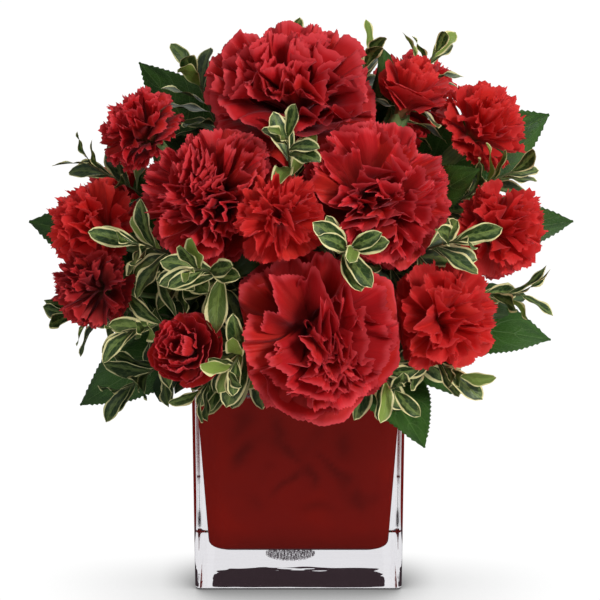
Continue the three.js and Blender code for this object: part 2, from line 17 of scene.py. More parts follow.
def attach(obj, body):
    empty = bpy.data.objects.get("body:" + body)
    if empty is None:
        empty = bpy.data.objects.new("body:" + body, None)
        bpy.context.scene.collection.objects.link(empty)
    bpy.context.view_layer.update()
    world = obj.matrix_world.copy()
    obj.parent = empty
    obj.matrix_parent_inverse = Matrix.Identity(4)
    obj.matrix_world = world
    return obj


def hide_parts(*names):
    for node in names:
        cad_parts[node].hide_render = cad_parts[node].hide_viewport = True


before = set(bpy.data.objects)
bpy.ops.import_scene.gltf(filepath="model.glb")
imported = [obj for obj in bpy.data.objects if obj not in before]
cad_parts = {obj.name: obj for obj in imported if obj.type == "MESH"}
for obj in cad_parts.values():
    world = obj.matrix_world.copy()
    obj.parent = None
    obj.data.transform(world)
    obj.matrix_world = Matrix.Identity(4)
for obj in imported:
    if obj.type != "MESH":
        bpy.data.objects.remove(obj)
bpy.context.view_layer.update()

Array = np.ndarray
Place = tuple[float, float, float]
Colour = tuple[float, float, float, float]
LOG = logging.getLogger("bouquet")

BODY = "root"
MM = 0.001
# The heart of the bouquet, the gap between neighbours, and the turns from petal to petal and leaf to leaf.
HEART = np.array([0.0, 0.0, 0.158])
GAP = 0.0003
GOLDEN_TURN = math.radians(137.508)
LEAF_TURN = 137.5
SPRIG_SEED = 100
STALK_SEED = 300


class HeadForm(Enum):
    """The forms of a flower head."""

    OPEN = "open"
    DOMED = "domed"
    STANDARD = "standard"
    SPRAY = "spray"
    CUP = "cup"
    HALF_OPEN = "half_open"


class Slot(Enum):
    """The material slots of the record."""

    GLASS = "vase_glass"
    LINING = "red_lining"
    WATER = "water"
    PETALS = "petals"
    STEMS = "stems"
    SPRIGS = "variegated_leaves"
    LEAVES = "dark_leaves"


# Vectors


def unit(vector: Array) -> Array:
    """Returns a vector, or each of several, at length 1."""
    return vector / np.linalg.norm(vector, axis=-1, keepdims=True)


def direction(bearing: float, rise: float) -> Array:
    """Returns the unit vector at a bearing and a rise, in degrees."""
    turn, lift = math.radians(bearing), math.radians(rise)
    return np.array([math.cos(lift) * math.cos(turn), math.cos(lift) * math.sin(turn), math.sin(lift)])


def place(spot: Place) -> Array:
    """Returns the point at a bearing, a rise and a reach from the bouquet's heart."""
    return HEART + direction(spot[0], spot[1]) * spot[2]


def level(spot: tuple[float, float], height: float) -> Array:
    """Returns the point at a bearing and a radius round the vase's axis, at a height."""
    flat = direction(spot[0], 0) * spot[1]
    return np.array([flat[0], flat[1], height])


def turned(vector: Array, axis: Array, angle: float) -> Array:
    """Turns a vector about a unit axis.

    Args:
        vector: The vector to turn.
        axis: The unit vector that it turns about.
        angle: The angle in radians.

    Returns:
        The turned vector.
    """
    cosine, sine = math.cos(angle), math.sin(angle)
    return vector * cosine + np.cross(axis, vector) * sine + axis * (vector @ axis) * (1 - cosine)


def smoothstep(low: float, high: float, value: Array) -> Array:
    """Returns 0 below low, 1 above high and a smooth rise between."""
    share = np.clip((value - low) / (high - low), 0.0, 1.0)
    return share * share * (3 - 2 * share)


def eased(value: Array, limit: Array, margin: float) -> Array:
    """Brings values that near a limit smoothly to rest below it.

    Args:
        value: The values.
        limit: What they may not pass.
        margin: How far before the limit they begin to slow.

    Returns:
        The eased values.
    """
    start = limit - margin
    over = np.maximum(value - start, 0.0)
    return np.minimum(value, start) + margin * (1 - np.exp(-over / margin))


def bezier(controls: list[Array], share: Array) -> tuple[Array, Array]:
    """Runs along a cubic Bezier curve.

    Args:
        controls: Its four control points.
        share: Shares of the curve, from 0 to 1, of any shape.

    Returns:
        The points, and the unit tangents there.
    """
    t = share[..., None]
    a, b, c, d = controls
    points = a * (1 - t) ** 3 + b * 3 * t * (1 - t) ** 2 + c * 3 * t**2 * (1 - t) + d * t**3
    slopes = (b - a) * (1 - t) ** 2 + (c - b) * 2 * t * (1 - t) + (d - c) * t**2
    return points, unit(slopes)


# Meshes


def grid_faces(rows: int, columns: int, closed: bool = False) -> Array:
    """Returns the corner numbers of the quads of a grid, whose columns may close on themselves.

    Args:
        rows: Its rows of points.
        columns: Its columns of points.
        closed: True where the last column joins the first.

    Returns:
        Four corner numbers for each face.
    """
    count = columns if closed else columns - 1
    row, column = np.meshgrid(np.arange(rows - 1), np.arange(count), indexing="ij")
    following = (column + 1) % columns
    near, far = row * columns, (row + 1) * columns
    return np.stack([near + column, near + following, far + following, far + column], -1).reshape(-1, 4)


def plain_uv(rows: int, columns: int) -> Array:
    """Returns a UV grid from 0 to 1, across in u and along in v."""
    along, across = np.meshgrid(np.linspace(0, 1, rows), np.linspace(0, 1, columns), indexing="ij")
    return np.stack([across, along], -1)


class Draft:
    """A mesh in the making: grids of points with a UV map and a tone, joined in one object."""

    def __init__(self) -> None:
        """Starts an empty draft."""
        self.count = 0
        self.points: list[Array] = []
        self.tones: list[Array] = []
        self.corners: list[Array] = []
        self.sizes: list[Array] = []
        self.uvs: list[Array] = []

    def add_grid(self, points: Array, tone: float | Array, closed: bool = False) -> None:
        """Adds a grid of quads, with a UV map from 0 to 1.

        Args:
            points: Rows by columns by 3.
            tone: A number from 0 to 1 that the material reads, or one for each point.
            closed: Whether the last column joins the first.
        """
        rows, columns = points.shape[:2]
        faces = grid_faces(rows, columns, closed)
        uv = plain_uv(rows, columns + closed)
        uv_faces = grid_faces(rows, columns + closed)
        self.corners.append((faces + self.count).ravel())
        self.sizes.append(np.full(len(faces), 4))
        self.uvs.append(uv.reshape(-1, 2)[uv_faces.ravel()])
        self.points.append(points.reshape(-1, 3))
        self.tones.append(np.broadcast_to(tone, (rows, columns)).ravel())
        self.count += rows * columns

    def add_cap(self, ring: Array, tone: float, flip: bool = False) -> None:
        """Adds one flat face with its own corners.

        Args:
            ring: Its corners in order.
            tone: A number from 0 to 1 that the material reads.
            flip: Whether the corners are taken in the other order.
        """
        order = np.arange(len(ring))[:: -1 if flip else 1]
        self.corners.append(order + self.count)
        self.sizes.append(np.array([len(ring)]))
        self.uvs.append(np.zeros((len(ring), 2)))
        self.points.append(ring)
        self.tones.append(np.full(len(ring), tone))
        self.count += len(ring)

    def add_solid(self, rings: Array, tone: float | Array, end_tone: float) -> None:
        """Adds a grid that closes on itself, with a flat face at each end.

        Args:
            rings: Rings by points by 3.
            tone: A number from 0 to 1 that the material reads, or one for each point.
            end_tone: The number for the two ends.
        """
        self.add_grid(rings, tone, closed=True)
        self.add_cap(rings[0], end_tone, flip=True)
        self.add_cap(rings[-1], end_tone)

    def build(self, name: str) -> bpy.types.Object:
        """Makes the object.

        Args:
            name: The name of the piece.

        Returns:
            The object, smooth and linked to the scene.
        """
        corners = np.concatenate(self.corners).astype(np.int32)
        sizes = np.concatenate(self.sizes)
        mesh = bpy.data.meshes.new(name)
        mesh.vertices.add(self.count)
        mesh.vertices.foreach_set("co", np.concatenate(self.points).astype(np.float32).ravel())
        mesh.loops.add(len(corners))
        mesh.loops.foreach_set("vertex_index", corners)
        mesh.polygons.add(len(sizes))
        starts = np.concatenate([[0], np.cumsum(sizes)[:-1]]).astype(np.int32)
        mesh.polygons.foreach_set("loop_start", starts)
        mesh.update(calc_edges=True)
        layer = mesh.uv_layers.new(name="UVMap")
        layer.data.foreach_set("uv", np.concatenate(self.uvs).astype(np.float32).ravel())
        tone = mesh.attributes.new("tone", "FLOAT", "POINT")
        tone.data.foreach_set("value", np.concatenate(self.tones).astype(np.float32))
        mesh.shade_smooth()
        piece = bpy.data.objects.new(name, mesh)
        bpy.context.scene.collection.objects.link(piece)
        return piece


def tube_rings(spine: Array, radii: Array, sides: int) -> Array:
    """Sweeps a circle along a line.

    Args:
        spine: The points of the line.
        radii: The circle's radius at each point.
        sides: How many corners the circle has.

    Returns:
        Rings of points, one for each point of the line.
    """
    tangents = unit(np.gradient(spine, axis=0))
    side = unit(np.cross(tangents[0], [0.31, 0.95, 0.07]))
    angles = np.linspace(0, 2 * np.pi, sides, endpoint=False)
    rings = []
    for point, tangent, radius in zip(spine, tangents, radii):
        side = unit(side - tangent * (side @ tangent))
        other = np.cross(tangent, side)
        circle = np.outer(np.cos(angles), side) + np.outer(np.sin(angles), other)
        rings.append(point + radius * circle)
    return np.array(rings)


class Clearance:
    """What has been placed so far, so that a leaf can be set clear of it."""

    def __init__(self) -> None:
        """Starts with nothing placed."""
        self.placed: list[tuple[BVHTree, Array, Array]] = []

    def add(self, points: Array, faces: Array) -> None:
        """Adds a mesh that later pieces keep clear of.

        Args:
            points: The grid of points of a thin form.
            faces: Its faces, as numbers of those points.
        """
        flat = points.reshape(-1, 3)
        tree = BVHTree.FromPolygons(flat.tolist(), faces.tolist())
        self.placed.append((tree, flat.min(0), flat.max(0)))

    def add_object(self, piece: bpy.types.Object) -> None:
        """Adds an object that later pieces keep clear of.

        Args:
            piece: A finished piece.
        """
        mesh = piece.data
        flat = np.empty(len(mesh.vertices) * 3, np.float32)
        mesh.vertices.foreach_get("co", flat)
        flat = flat.reshape(-1, 3)
        tree = BVHTree.FromObject(piece, bpy.context.evaluated_depsgraph_get())
        self.placed.append((tree, flat.min(0), flat.max(0)))

    def crossings(self, points: Array, faces: Array) -> int:
        """Counts the faces of what is placed that a mesh would cross.

        Args:
            points: The points of the mesh.
            faces: Its faces.

        Returns:
            How many pairs of faces cross.
        """
        flat = points.reshape(-1, 3)
        low, high = flat.min(0), flat.max(0)
        tree = BVHTree.FromPolygons(flat.tolist(), faces.tolist())
        total = 0
        for other, other_low, other_high in self.placed:
            if np.all(low < other_high) and np.all(other_low < high):
                total += len(tree.overlap(other))
        return total


# Finishes


class Shading:
    """Short ways to lay out a node tree."""

    def __init__(self, tree: bpy.types.NodeTree) -> None:
        """Keeps the tree."""
        self.tree = tree

    def add(self, kind: str, **settings: object) -> bpy.types.Node:
        """Adds a node and sets its properties.

        Args:
            kind: The kind of node.
            settings: Its settings, by name.

        Returns:
            The node.
        """
        node = self.tree.nodes.new(kind)
        for key, value in settings.items():
            setattr(node, key, value)
        return node

    def feed(self, socket: bpy.types.NodeSocket, value: object) -> None:
        """Links an output to a socket, or sets the socket to a plain value.

        Args:
            socket: The input.
            value: An output to link, or a plain value.
        """
        if isinstance(value, bpy.types.NodeSocket):
            self.tree.links.new(value, socket)
        else:
            socket.default_value = value

    def fill(self, node: bpy.types.Node, values: dict[str, object]) -> None:
        """Feeds several inputs of a node, by name."""
        for key, value in values.items():
            self.feed(node.inputs[key], value)

    def split(self, vector: object) -> list[bpy.types.NodeSocket]:
        """Adds a Separate XYZ node and returns its outputs.

        Args:
            vector: The vector.

        Returns:
            Its three parts.
        """
        node = self.add("ShaderNodeSeparateXYZ")
        self.feed(node.inputs[0], vector)
        return list(node.outputs)

    def math(self, operation: str, *values: object) -> bpy.types.NodeSocket:
        """Adds a Math node and returns its output.

        Args:
            operation: What is done.
            values: Outputs or numbers.

        Returns:
            The result.
        """
        node = self.add("ShaderNodeMath", operation=operation)
        for socket, value in zip(node.inputs, values):
            self.feed(socket, value)
        return node.outputs[0]

    def ramp(self, value: object, low: float, high: float, start: float = 0.0, end: float = 1.0) -> object:
        """Adds a smooth Map Range node and returns its output.

        Args:
            value: What it reads.
            low: The value that gives start.
            high: The value that gives end.
            start: Its output at and before low.
            end: Its output at and past high.

        Returns:
            The output socket.
        """
        node = self.add("ShaderNodeMapRange", interpolation_type="SMOOTHSTEP")
        self.fill(node, {"Value": value, "From Min": low, "From Max": high, "To Min": start, "To Max": end})
        return node.outputs[0]

    def mix(self, share: object, first: object, second: object, blend: str = "MIX") -> object:
        """Adds a Mix node for colours and returns its output.

        Args:
            share: How much of the second there is, from 0 to 1.
            first: The first colour.
            second: The second colour.
            blend: How they are blended.

        Returns:
            The mixed colour.
        """
        node = self.add("ShaderNodeMix", data_type="RGBA", blend_type=blend)
        for index, item in ((0, share), (6, first), (7, second)):
            self.feed(node.inputs[index], item)
        return node.outputs[2]

    def noise(self, vector: object, scale: float, detail: float = 2.0, roughness: float = 0.5) -> object:
        """Adds a Noise node and returns its value output.

        Args:
            vector: Where it is looked up.
            scale: How fine it is.
            detail: How many finer layers it has.
            roughness: How strong the finer layers are.

        Returns:
            A value from 0 to 1.
        """
        node = self.add("ShaderNodeTexNoise")
        self.fill(node, {"Vector": vector, "Scale": scale, "Detail": detail, "Roughness": roughness})
        return node.outputs["Fac"]

    def stretched(self, vector: object, scale: tuple[float, float, float]) -> object:
        """Adds a Mapping node that stretches a vector and returns its output.

        Args:
            vector: The vector.
            scale: What each part of it is multiplied by.

        Returns:
            The stretched vector.
        """
        node = self.add("ShaderNodeMapping")
        self.fill(node, {"Vector": vector, "Scale": scale})
        return node.outputs[0]

    def blend(self, share: object, first: object, second: object) -> object:
        """Adds a Mix Shader node and returns its output.

        Args:
            share: How much of the second there is, from 0 to 1.
            first: The first surface.
            second: The second surface.

        Returns:
            The blended surface.
        """
        node = self.add("ShaderNodeMixShader")
        for socket, item in zip(node.inputs, (share, first, second)):
            self.feed(socket, item)
        return node.outputs[0]

    def group(self, tree: bpy.types.NodeTree, **values: object) -> bpy.types.Node:
        """Places a node group with its own values, and returns the node.

        Args:
            tree: The group.
            values: What feeds its inputs, by name.

        Returns:
            The group's node.
        """
        node = self.add("ShaderNodeGroup", node_tree=tree)
        self.fill(node, values)
        return node

    def tone(self) -> object:
        """Returns the tone that each petal, leaf or stem has of its own."""
        return self.add("ShaderNodeAttribute", attribute_name="tone").outputs["Fac"]

    def uv(self) -> object:
        """Returns the UV map's output."""
        return self.add("ShaderNodeUVMap", uv_map="UVMap").outputs[0]

    def place(self) -> object:
        """Returns the place in the object's own frame."""
        return self.add("ShaderNodeTexCoord").outputs["Object"]

    def bump(self, height: object, strength: float, distance: float) -> object:
        """Adds a Bump node and returns its normal.

        Args:
            height: The height.
            strength: How strong the bump is.
            distance: How high it is, in metres.

        Returns:
            The bumped normal.
        """
        node = self.add("ShaderNodeBump")
        self.fill(node, {"Strength": strength, "Distance": distance, "Height": height})
        return node.outputs[0]


def new_group(name: str, inputs: dict[str, object], outputs: dict[str, str]) -> tuple[Shading, dict, dict]:
    """Starts a shader node group.

    Args:
        name: Its name.
        inputs: Each input's name, with a number as its usual value, or None for a vector.
        outputs: Each output's name and socket type.

    Returns:
        The group's shading helper, its input sockets and its output sockets, by name.
    """
    tree = bpy.data.node_groups.new(name, "ShaderNodeTree")
    for key, value in inputs.items():
        kind = "NodeSocketVector" if value is None else "NodeSocketFloat"
        socket = tree.interface.new_socket(key, in_out="INPUT", socket_type=kind)
        if value is not None:
            socket.default_value = value
    for key, kind in outputs.items():
        tree.interface.new_socket(key, in_out="OUTPUT", socket_type=kind)
    shading = Shading(tree)
    ins = shading.add("NodeGroupInput").outputs
    outs = shading.add("NodeGroupOutput").inputs
    return shading, {key: ins[key] for key in inputs}, {key: outs[key] for key in outputs}


def streaks_group() -> bpy.types.NodeTree:
    """Makes the group for fine streaks that run from the foot of a petal or leaf to its edge.

    Returns:
        The node group, with a mask of the streaks and one of broad soft patches.
    """
    shading, given, made = new_group(
        "Fine streaks",
        {"Vector": None, "Seed": 0.0, "Count": 40.0, "Contrast": 1.0},
        {"Streaks": "NodeSocketFloat", "Patches": "NodeSocketFloat"},
    )
    parts = shading.split(given["Vector"])
    joined = shading.add("ShaderNodeCombineXYZ")
    shading.feed(joined.inputs[0], shading.math("MULTIPLY", parts[0], given["Count"]))
    shading.feed(joined.inputs[1], shading.math("MULTIPLY", parts[1], 2.2))
    shading.feed(joined.inputs[2], shading.math("MULTIPLY", given["Seed"], 37.0))
    fine = shading.noise(joined.outputs[0], 1.0, 3.0, 0.6)
    centred = shading.math("SUBTRACT", fine, 0.5)
    shading.feed(made["Streaks"], shading.math("MULTIPLY_ADD", centred, given["Contrast"], 0.5))
    broad = shading.add("ShaderNodeCombineXYZ")
    shading.feed(broad.inputs[0], shading.math("MULTIPLY", parts[0], 3.0))
    shading.feed(broad.inputs[1], shading.math("MULTIPLY", parts[1], 2.4))
    shading.feed(broad.inputs[2], shading.math("MULTIPLY", given["Seed"], 61.0))
    shading.feed(made["Patches"], shading.noise(broad.outputs[0], 1.0, 2.0))
    return shading.tree


def ribs_group() -> bpy.types.NodeTree:
    """Makes the group for a leaf's midrib and side veins, read from its UV map.

    Returns:
        The node group, with a mask of the midrib and one of the side veins.
    """
    shading, given, made = new_group(
        "Leaf ribs",
        {"Vector": None, "Pairs": 8.0, "Slant": 0.3, "Width": 0.1, "Midrib": 0.03},
        {"Midrib": "NodeSocketFloat", "Side Veins": "NodeSocketFloat"},
    )
    parts = shading.split(given["Vector"])
    offset = shading.math("ABSOLUTE", shading.math("SUBTRACT", parts[0], 0.5))
    shading.feed(made["Midrib"], shading.math("SUBTRACT", 1.0, shading.ramp(offset, 0.0, given["Midrib"])))
    bend = shading.math("POWER", shading.math("MULTIPLY", offset, 2.0), 1.4)
    climb = shading.math("SUBTRACT", parts[1], shading.math("MULTIPLY", bend, given["Slant"]))
    wave = shading.math("FRACT", shading.math("MULTIPLY", climb, given["Pairs"]))
    away = shading.math("ABSOLUTE", shading.math("SUBTRACT", wave, 0.5))
    shading.feed(made["Side Veins"], shading.math("SUBTRACT", 1.0, shading.ramp(away, 0.0, given["Width"])))
    return shading.tree


STREAKS = streaks_group()
RIBS = ribs_group()


def new_material(name: str) -> tuple[bpy.types.Material, Shading, bpy.types.Node, bpy.types.Node]:
    """Starts a material.

    Args:
        name: Its name.

    Returns:
        The material, its shading helper, its Principled BSDF and its output node.
    """
    material = bpy.data.materials.new(name)
    material.use_nodes = True
    shading = Shading(material.node_tree)
    material.node_tree.nodes.clear()
    output = shading.add("ShaderNodeOutputMaterial")
    bsdf = shading.add("ShaderNodeBsdfPrincipled")
    shading.feed(output.inputs["Surface"], bsdf.outputs[0])
    return material, shading, bsdf, output


def let_light_through(
    shading: Shading, bsdf: bpy.types.Node, output: bpy.types.Node, colour: object, share: float
) -> None:
    """Mixes some light from behind into a thin petal or leaf.

    Args:
        shading: The material's shading helper.
        bsdf: Its Principled BSDF.
        output: Its output node.
        colour: The colour of the light that comes through.
        share: How much of the light comes through.
    """
    glow = shading.add("ShaderNodeBsdfTranslucent")
    shading.feed(glow.inputs["Color"], colour)
    shading.feed(output.inputs["Surface"], shading.blend(share, bsdf.outputs[0], glow.outputs[0]))


@dataclass(frozen=True)
class PetalFinish:
    """Velvety red petals, scarlet inside and crimson outside, with fine streaks, painted shade that darkens
    each petal towards its foot, and a lighter pink edge that is a painted highlight.
    """

    name: str = "crimson_petal"
    shade: Colour = (0.34, 0.004, 0.004, 1)
    # The next colour is painted shade, which each petal darkens to towards its foot, under the petals
    # around it.
    hollow_shade: Colour = (0.20, 0.002, 0.003, 1)
    scarlet: Colour = (0.78, 0.034, 0.012, 1)
    crimson: Colour = (0.72, 0.014, 0.022, 1)
    # The next colour is a painted highlight along each petal's edge.
    edge: Colour = (0.90, 0.100, 0.120, 1)
    claw: Colour = (0.30, 0.16, 0.06, 1)
    roughness: float = 0.62
    through: float = 0.16

    def build(self) -> bpy.types.Material:
        """Builds the material.

        Returns:
            The material.
        """
        material, shading, bsdf, output = new_material(self.name)
        uv, tone = shading.uv(), shading.tone()
        streaks = shading.group(STREAKS, Vector=uv, Seed=tone, Count=58.0, Contrast=1.3)
        parts = shading.split(uv)
        along = parts[1]
        hue = shading.math("FRACT", shading.math("MULTIPLY", tone, 7.3))
        hue = shading.math("MULTIPLY_ADD", along, 0.7, shading.math("MULTIPLY", hue, 0.5))
        colour = shading.mix(shading.ramp(hue, 0.35, 0.95), self.scarlet, self.crimson)
        depth = shading.math("MULTIPLY_ADD", tone, 0.4, shading.math("MULTIPLY", streaks.outputs[1], 0.7))
        colour = shading.mix(shading.ramp(depth, 0.25, 0.75, 0.45, 0.0), colour, self.shade)
        fine = shading.math("MULTIPLY", streaks.outputs[0], 0.24)
        colour = shading.mix(fine, colour, self.shade)
        shifted = shading.math("ADD", tone, 3.0)
        pleats = shading.group(STREAKS, Vector=uv, Seed=shifted, Count=17.0, Contrast=1.2)
        pleat = shading.math("MULTIPLY", pleats.outputs[0], shading.ramp(along, 0.35, 0.9, 0.1, 0.42))
        colour = shading.mix(pleat, colour, self.shade)
        # Painted shade: each petal darkens towards its foot, where the petals around it shade it.
        colour = shading.mix(shading.ramp(along, 0.92, 0.5, 0.0, 0.8), colour, self.hollow_shade)
        # Painted highlight: a lighter pink band along each petal's edge.
        margin = shading.math("MULTIPLY", shading.ramp(along, 0.89, 1.0), 0.5)
        colour = shading.mix(margin, colour, self.edge)
        colour = shading.mix(shading.ramp(along, 0.3, 0.06), colour, self.claw)
        shading.fill(bsdf, {"Base Color": colour, "Roughness": self.roughness, "Specular IOR Level": 0.28})
        sheen = {"Sheen Weight": 0.13, "Sheen Roughness": 0.45, "Sheen Tint": (1.0, 0.4, 0.5, 1)}
        shading.fill(bsdf, sheen)
        height = shading.math("MULTIPLY", streaks.outputs[0], 0.7)
        height = shading.math("MULTIPLY_ADD", pleats.outputs[0], 2.0, height)
        shading.feed(bsdf.inputs["Normal"], shading.bump(height, 0.4, 0.0005))
        let_light_through(shading, bsdf, output, colour, self.through)
        return material


# A lit copy of the petals for chosen heads: brighter, with less painted shade, and a more scarlet hue.
SCARLET_LIT_PETAL = PetalFinish(
    name="scarlet_lit_petal",
    shade=(0.62, 0.014, 0.012, 1),
    hollow_shade=(0.57, 0.014, 0.012, 1),
    scarlet=(0.79, 0.044, 0.022, 1),
    crimson=(0.75, 0.030, 0.030, 1),
    edge=(0.82, 0.070, 0.066, 1),
    through=0.30,
)
# A shaded copy of the petals: painted shade for a head low at the left.
SHADED_PETAL = PetalFinish(
    name="shaded_petal",
    shade=(0.20, 0.003, 0.003, 1),
    hollow_shade=(0.11, 0.002, 0.002, 1),
    scarlet=(0.55, 0.020, 0.008, 1),
    crimson=(0.48, 0.010, 0.014, 1),
    edge=(0.74, 0.050, 0.055, 1),
    through=0.10,
)


@dataclass(frozen=True)
class SprigLeafFinish:
    """Small leaves with a green middle in several tones and a cream edge, and painted shade that darkens
    the leaves with a low tone.
    """

    name: str = "variegated_leaf"
    dark: Colour = (0.016, 0.046, 0.006, 1)
    grey: Colour = (0.150, 0.215, 0.056, 1)
    cream: Colour = (0.80, 0.74, 0.36, 1)
    fresh: Colour = (0.24, 0.34, 0.055, 1)
    margin: float = 1.08
    roughness: float = 0.45
    through: float = 0.12

    def build(self) -> bpy.types.Material:
        """Builds the material.

        Returns:
            The material.
        """
        material, shading, bsdf, output = new_material(self.name)
        uv, tone = shading.uv(), shading.tone()
        streaks = shading.group(STREAKS, Vector=uv, Seed=tone, Count=9.0, Contrast=2.0)
        ribs = shading.group(RIBS, Vector=uv, Pairs=7.0, Slant=0.3, Width=0.16, Midrib=0.035)
        parts = shading.split(uv)
        offset = shading.math("ABSOLUTE", shading.math("MULTIPLY_ADD", parts[0], 2.0, -1.0))
        ragged = shading.math("MULTIPLY_ADD", streaks.outputs[1], 0.5, offset)
        ragged = shading.math("MULTIPLY_ADD", streaks.outputs[0], 0.16, ragged)
        tip = shading.math("MULTIPLY", shading.ramp(parts[1], 0.9, 0.985), 0.35)
        edge = shading.ramp(shading.math("ADD", ragged, tip), self.margin, self.margin + 0.10)
        mottle = shading.noise(shading.stretched(uv, (2.6, 3.4, 1.0)), 1.5, 3.0, 0.6)
        inward = shading.math("MULTIPLY_ADD", offset, -0.24, shading.math("ADD", mottle, 0.10))
        middle = shading.mix(shading.ramp(inward, 0.44, 0.66), self.dark, self.grey)
        middle = shading.mix(shading.math("MULTIPLY", ribs.outputs[1], 0.25), middle, self.grey)
        middle = shading.mix(shading.math("MULTIPLY", ribs.outputs[0], 0.6), middle, self.fresh)
        middle = shading.mix(shading.ramp(tone, 0.8, 0.98), middle, self.fresh)
        colour = shading.mix(edge, middle, self.cream)
        # Painted shade: leaves with a low tone, the ones deep on the twig, turn dark.
        colour = shading.mix(shading.ramp(tone, 0.22, 0.12), colour, self.dark)
        shading.fill(bsdf, {"Base Color": colour, "Roughness": self.roughness, "Specular IOR Level": 0.45})
        height = shading.math("MULTIPLY", ribs.outputs[1], -0.5)
        height = shading.math("MULTIPLY_ADD", ribs.outputs[0], -1.0, height)
        shading.feed(bsdf.inputs["Normal"], shading.bump(height, 0.4, 0.0005))
        let_light_through(shading, bsdf, output, colour, self.through)
        return material


@dataclass(frozen=True)
class LargeLeafFinish:
    """Leathery dark green leaves with a pale midrib and a net of fine veins."""

    name: str = "dark_leaf"
    dark: Colour = (0.012, 0.050, 0.006, 1)
    light: Colour = (0.040, 0.125, 0.014, 1)
    vein: Colour = (0.13, 0.25, 0.06, 1)
    roughness: float = 0.42
    through: float = 0.1

    def build(self) -> bpy.types.Material:
        """Builds the material.

        Returns:
            The material.
        """
        material, shading, bsdf, output = new_material(self.name)
        uv, tone = shading.uv(), shading.tone()
        ribs = shading.group(RIBS, Vector=uv, Pairs=6.0, Slant=0.32, Width=0.05, Midrib=0.014)
        patches = shading.group(STREAKS, Vector=uv, Seed=tone, Count=6.0, Contrast=1.0)
        net = shading.add("ShaderNodeTexVoronoi", feature="DISTANCE_TO_EDGE")
        shading.feed(net.inputs["Vector"], shading.stretched(uv, (1.0, 1.7, 1.0)))
        net.inputs["Scale"].default_value = 26.0
        mesh_lines = shading.ramp(net.outputs["Distance"], 0.09, 0.0)
        colour = shading.mix(shading.ramp(patches.outputs[1], 0.3, 0.7), self.dark, self.light)
        colour = shading.mix(shading.math("MULTIPLY", mesh_lines, 0.3), colour, self.vein)
        colour = shading.mix(shading.math("MULTIPLY", ribs.outputs[1], 0.45), colour, self.vein)
        colour = shading.mix(shading.math("MULTIPLY", ribs.outputs[0], 0.8), colour, self.vein)
        shading.fill(bsdf, {"Base Color": colour, "Roughness": self.roughness, "Specular IOR Level": 0.4})
        height = shading.math("MULTIPLY", mesh_lines, 0.5)
        height = shading.math("MULTIPLY_ADD", ribs.outputs[1], 1.0, height)
        height = shading.math("MULTIPLY", shading.math("ADD", height, ribs.outputs[0]), -1.0)
        shading.feed(bsdf.inputs["Normal"], shading.bump(height, 0.5, 0.0006))
        let_light_through(shading, bsdf, output, colour, self.through)
        return material


@dataclass(frozen=True)
class StemFinish:
    """Green stems and calyxes with a pale bloom, or woody twigs."""

    name: str
    dark: Colour
    light: Colour
    roughness: float = 0.5

    def build(self) -> bpy.types.Material:
        """Builds the material.

        Returns:
            The material.
        """
        material, shading, bsdf, _ = new_material(self.name)
        uv, tone = shading.uv(), shading.tone()
        streaks = shading.group(STREAKS, Vector=uv, Seed=tone, Count=24.0, Contrast=1.4)
        blotches = shading.noise(shading.place(), 180.0, 3.0)
        share = shading.math("MULTIPLY", blotches, 0.5)
        share = shading.math("MULTIPLY_ADD", streaks.outputs[0], 0.5, share)
        colour = shading.mix(shading.ramp(share, 0.3, 0.7), self.dark, self.light)
        normal = shading.bump(streaks.outputs[0], 0.3, 0.0003)
        shading.fill(bsdf, {"Base Color": colour, "Roughness": self.roughness, "Normal": normal})
        return material


@dataclass(frozen=True)
class GlassFinish:
    """Clear glass that lets light through to what stands in it."""

    name: str = "clear_glass"
    tint: Colour = (0.985, 0.985, 0.99, 1)
    index: float = 1.5

    def build(self) -> bpy.types.Material:
        """Builds the material.

        Returns:
            The material.
        """
        material, shading, bsdf, output = new_material(self.name)
        shading.fill(bsdf, {"Base Color": self.tint, "Roughness": 0.0})
        shading.fill(bsdf, {"IOR": self.index, "Transmission Weight": 1.0})
        place_in = shading.place()
        parts = shading.split(place_in)
        under = shading.ramp(parts[2], 0.0015, 0.0005)
        rough = shading.noise(shading.stretched(place_in, (25.0, 80.0, 1.0)), 1.0, 2.0, 0.4)
        waves = shading.math("MULTIPLY", shading.noise(place_in, 30.0, 1.0), 0.15)
        height = shading.math("MULTIPLY_ADD", shading.math("MULTIPLY", rough, under), 2.0, waves)
        shading.feed(bsdf.inputs["Normal"], shading.bump(height, 1.0, 0.0001))
        clear = shading.add("ShaderNodeBsdfTransparent")
        clear.inputs["Color"].default_value = (0.96, 0.96, 0.97, 1)
        light = shading.add("ShaderNodeLightPath")
        surface = shading.blend(light.outputs["Is Shadow Ray"], bsdf.outputs[0], clear.outputs[0])
        shading.feed(output.inputs["Surface"], surface)
        return material


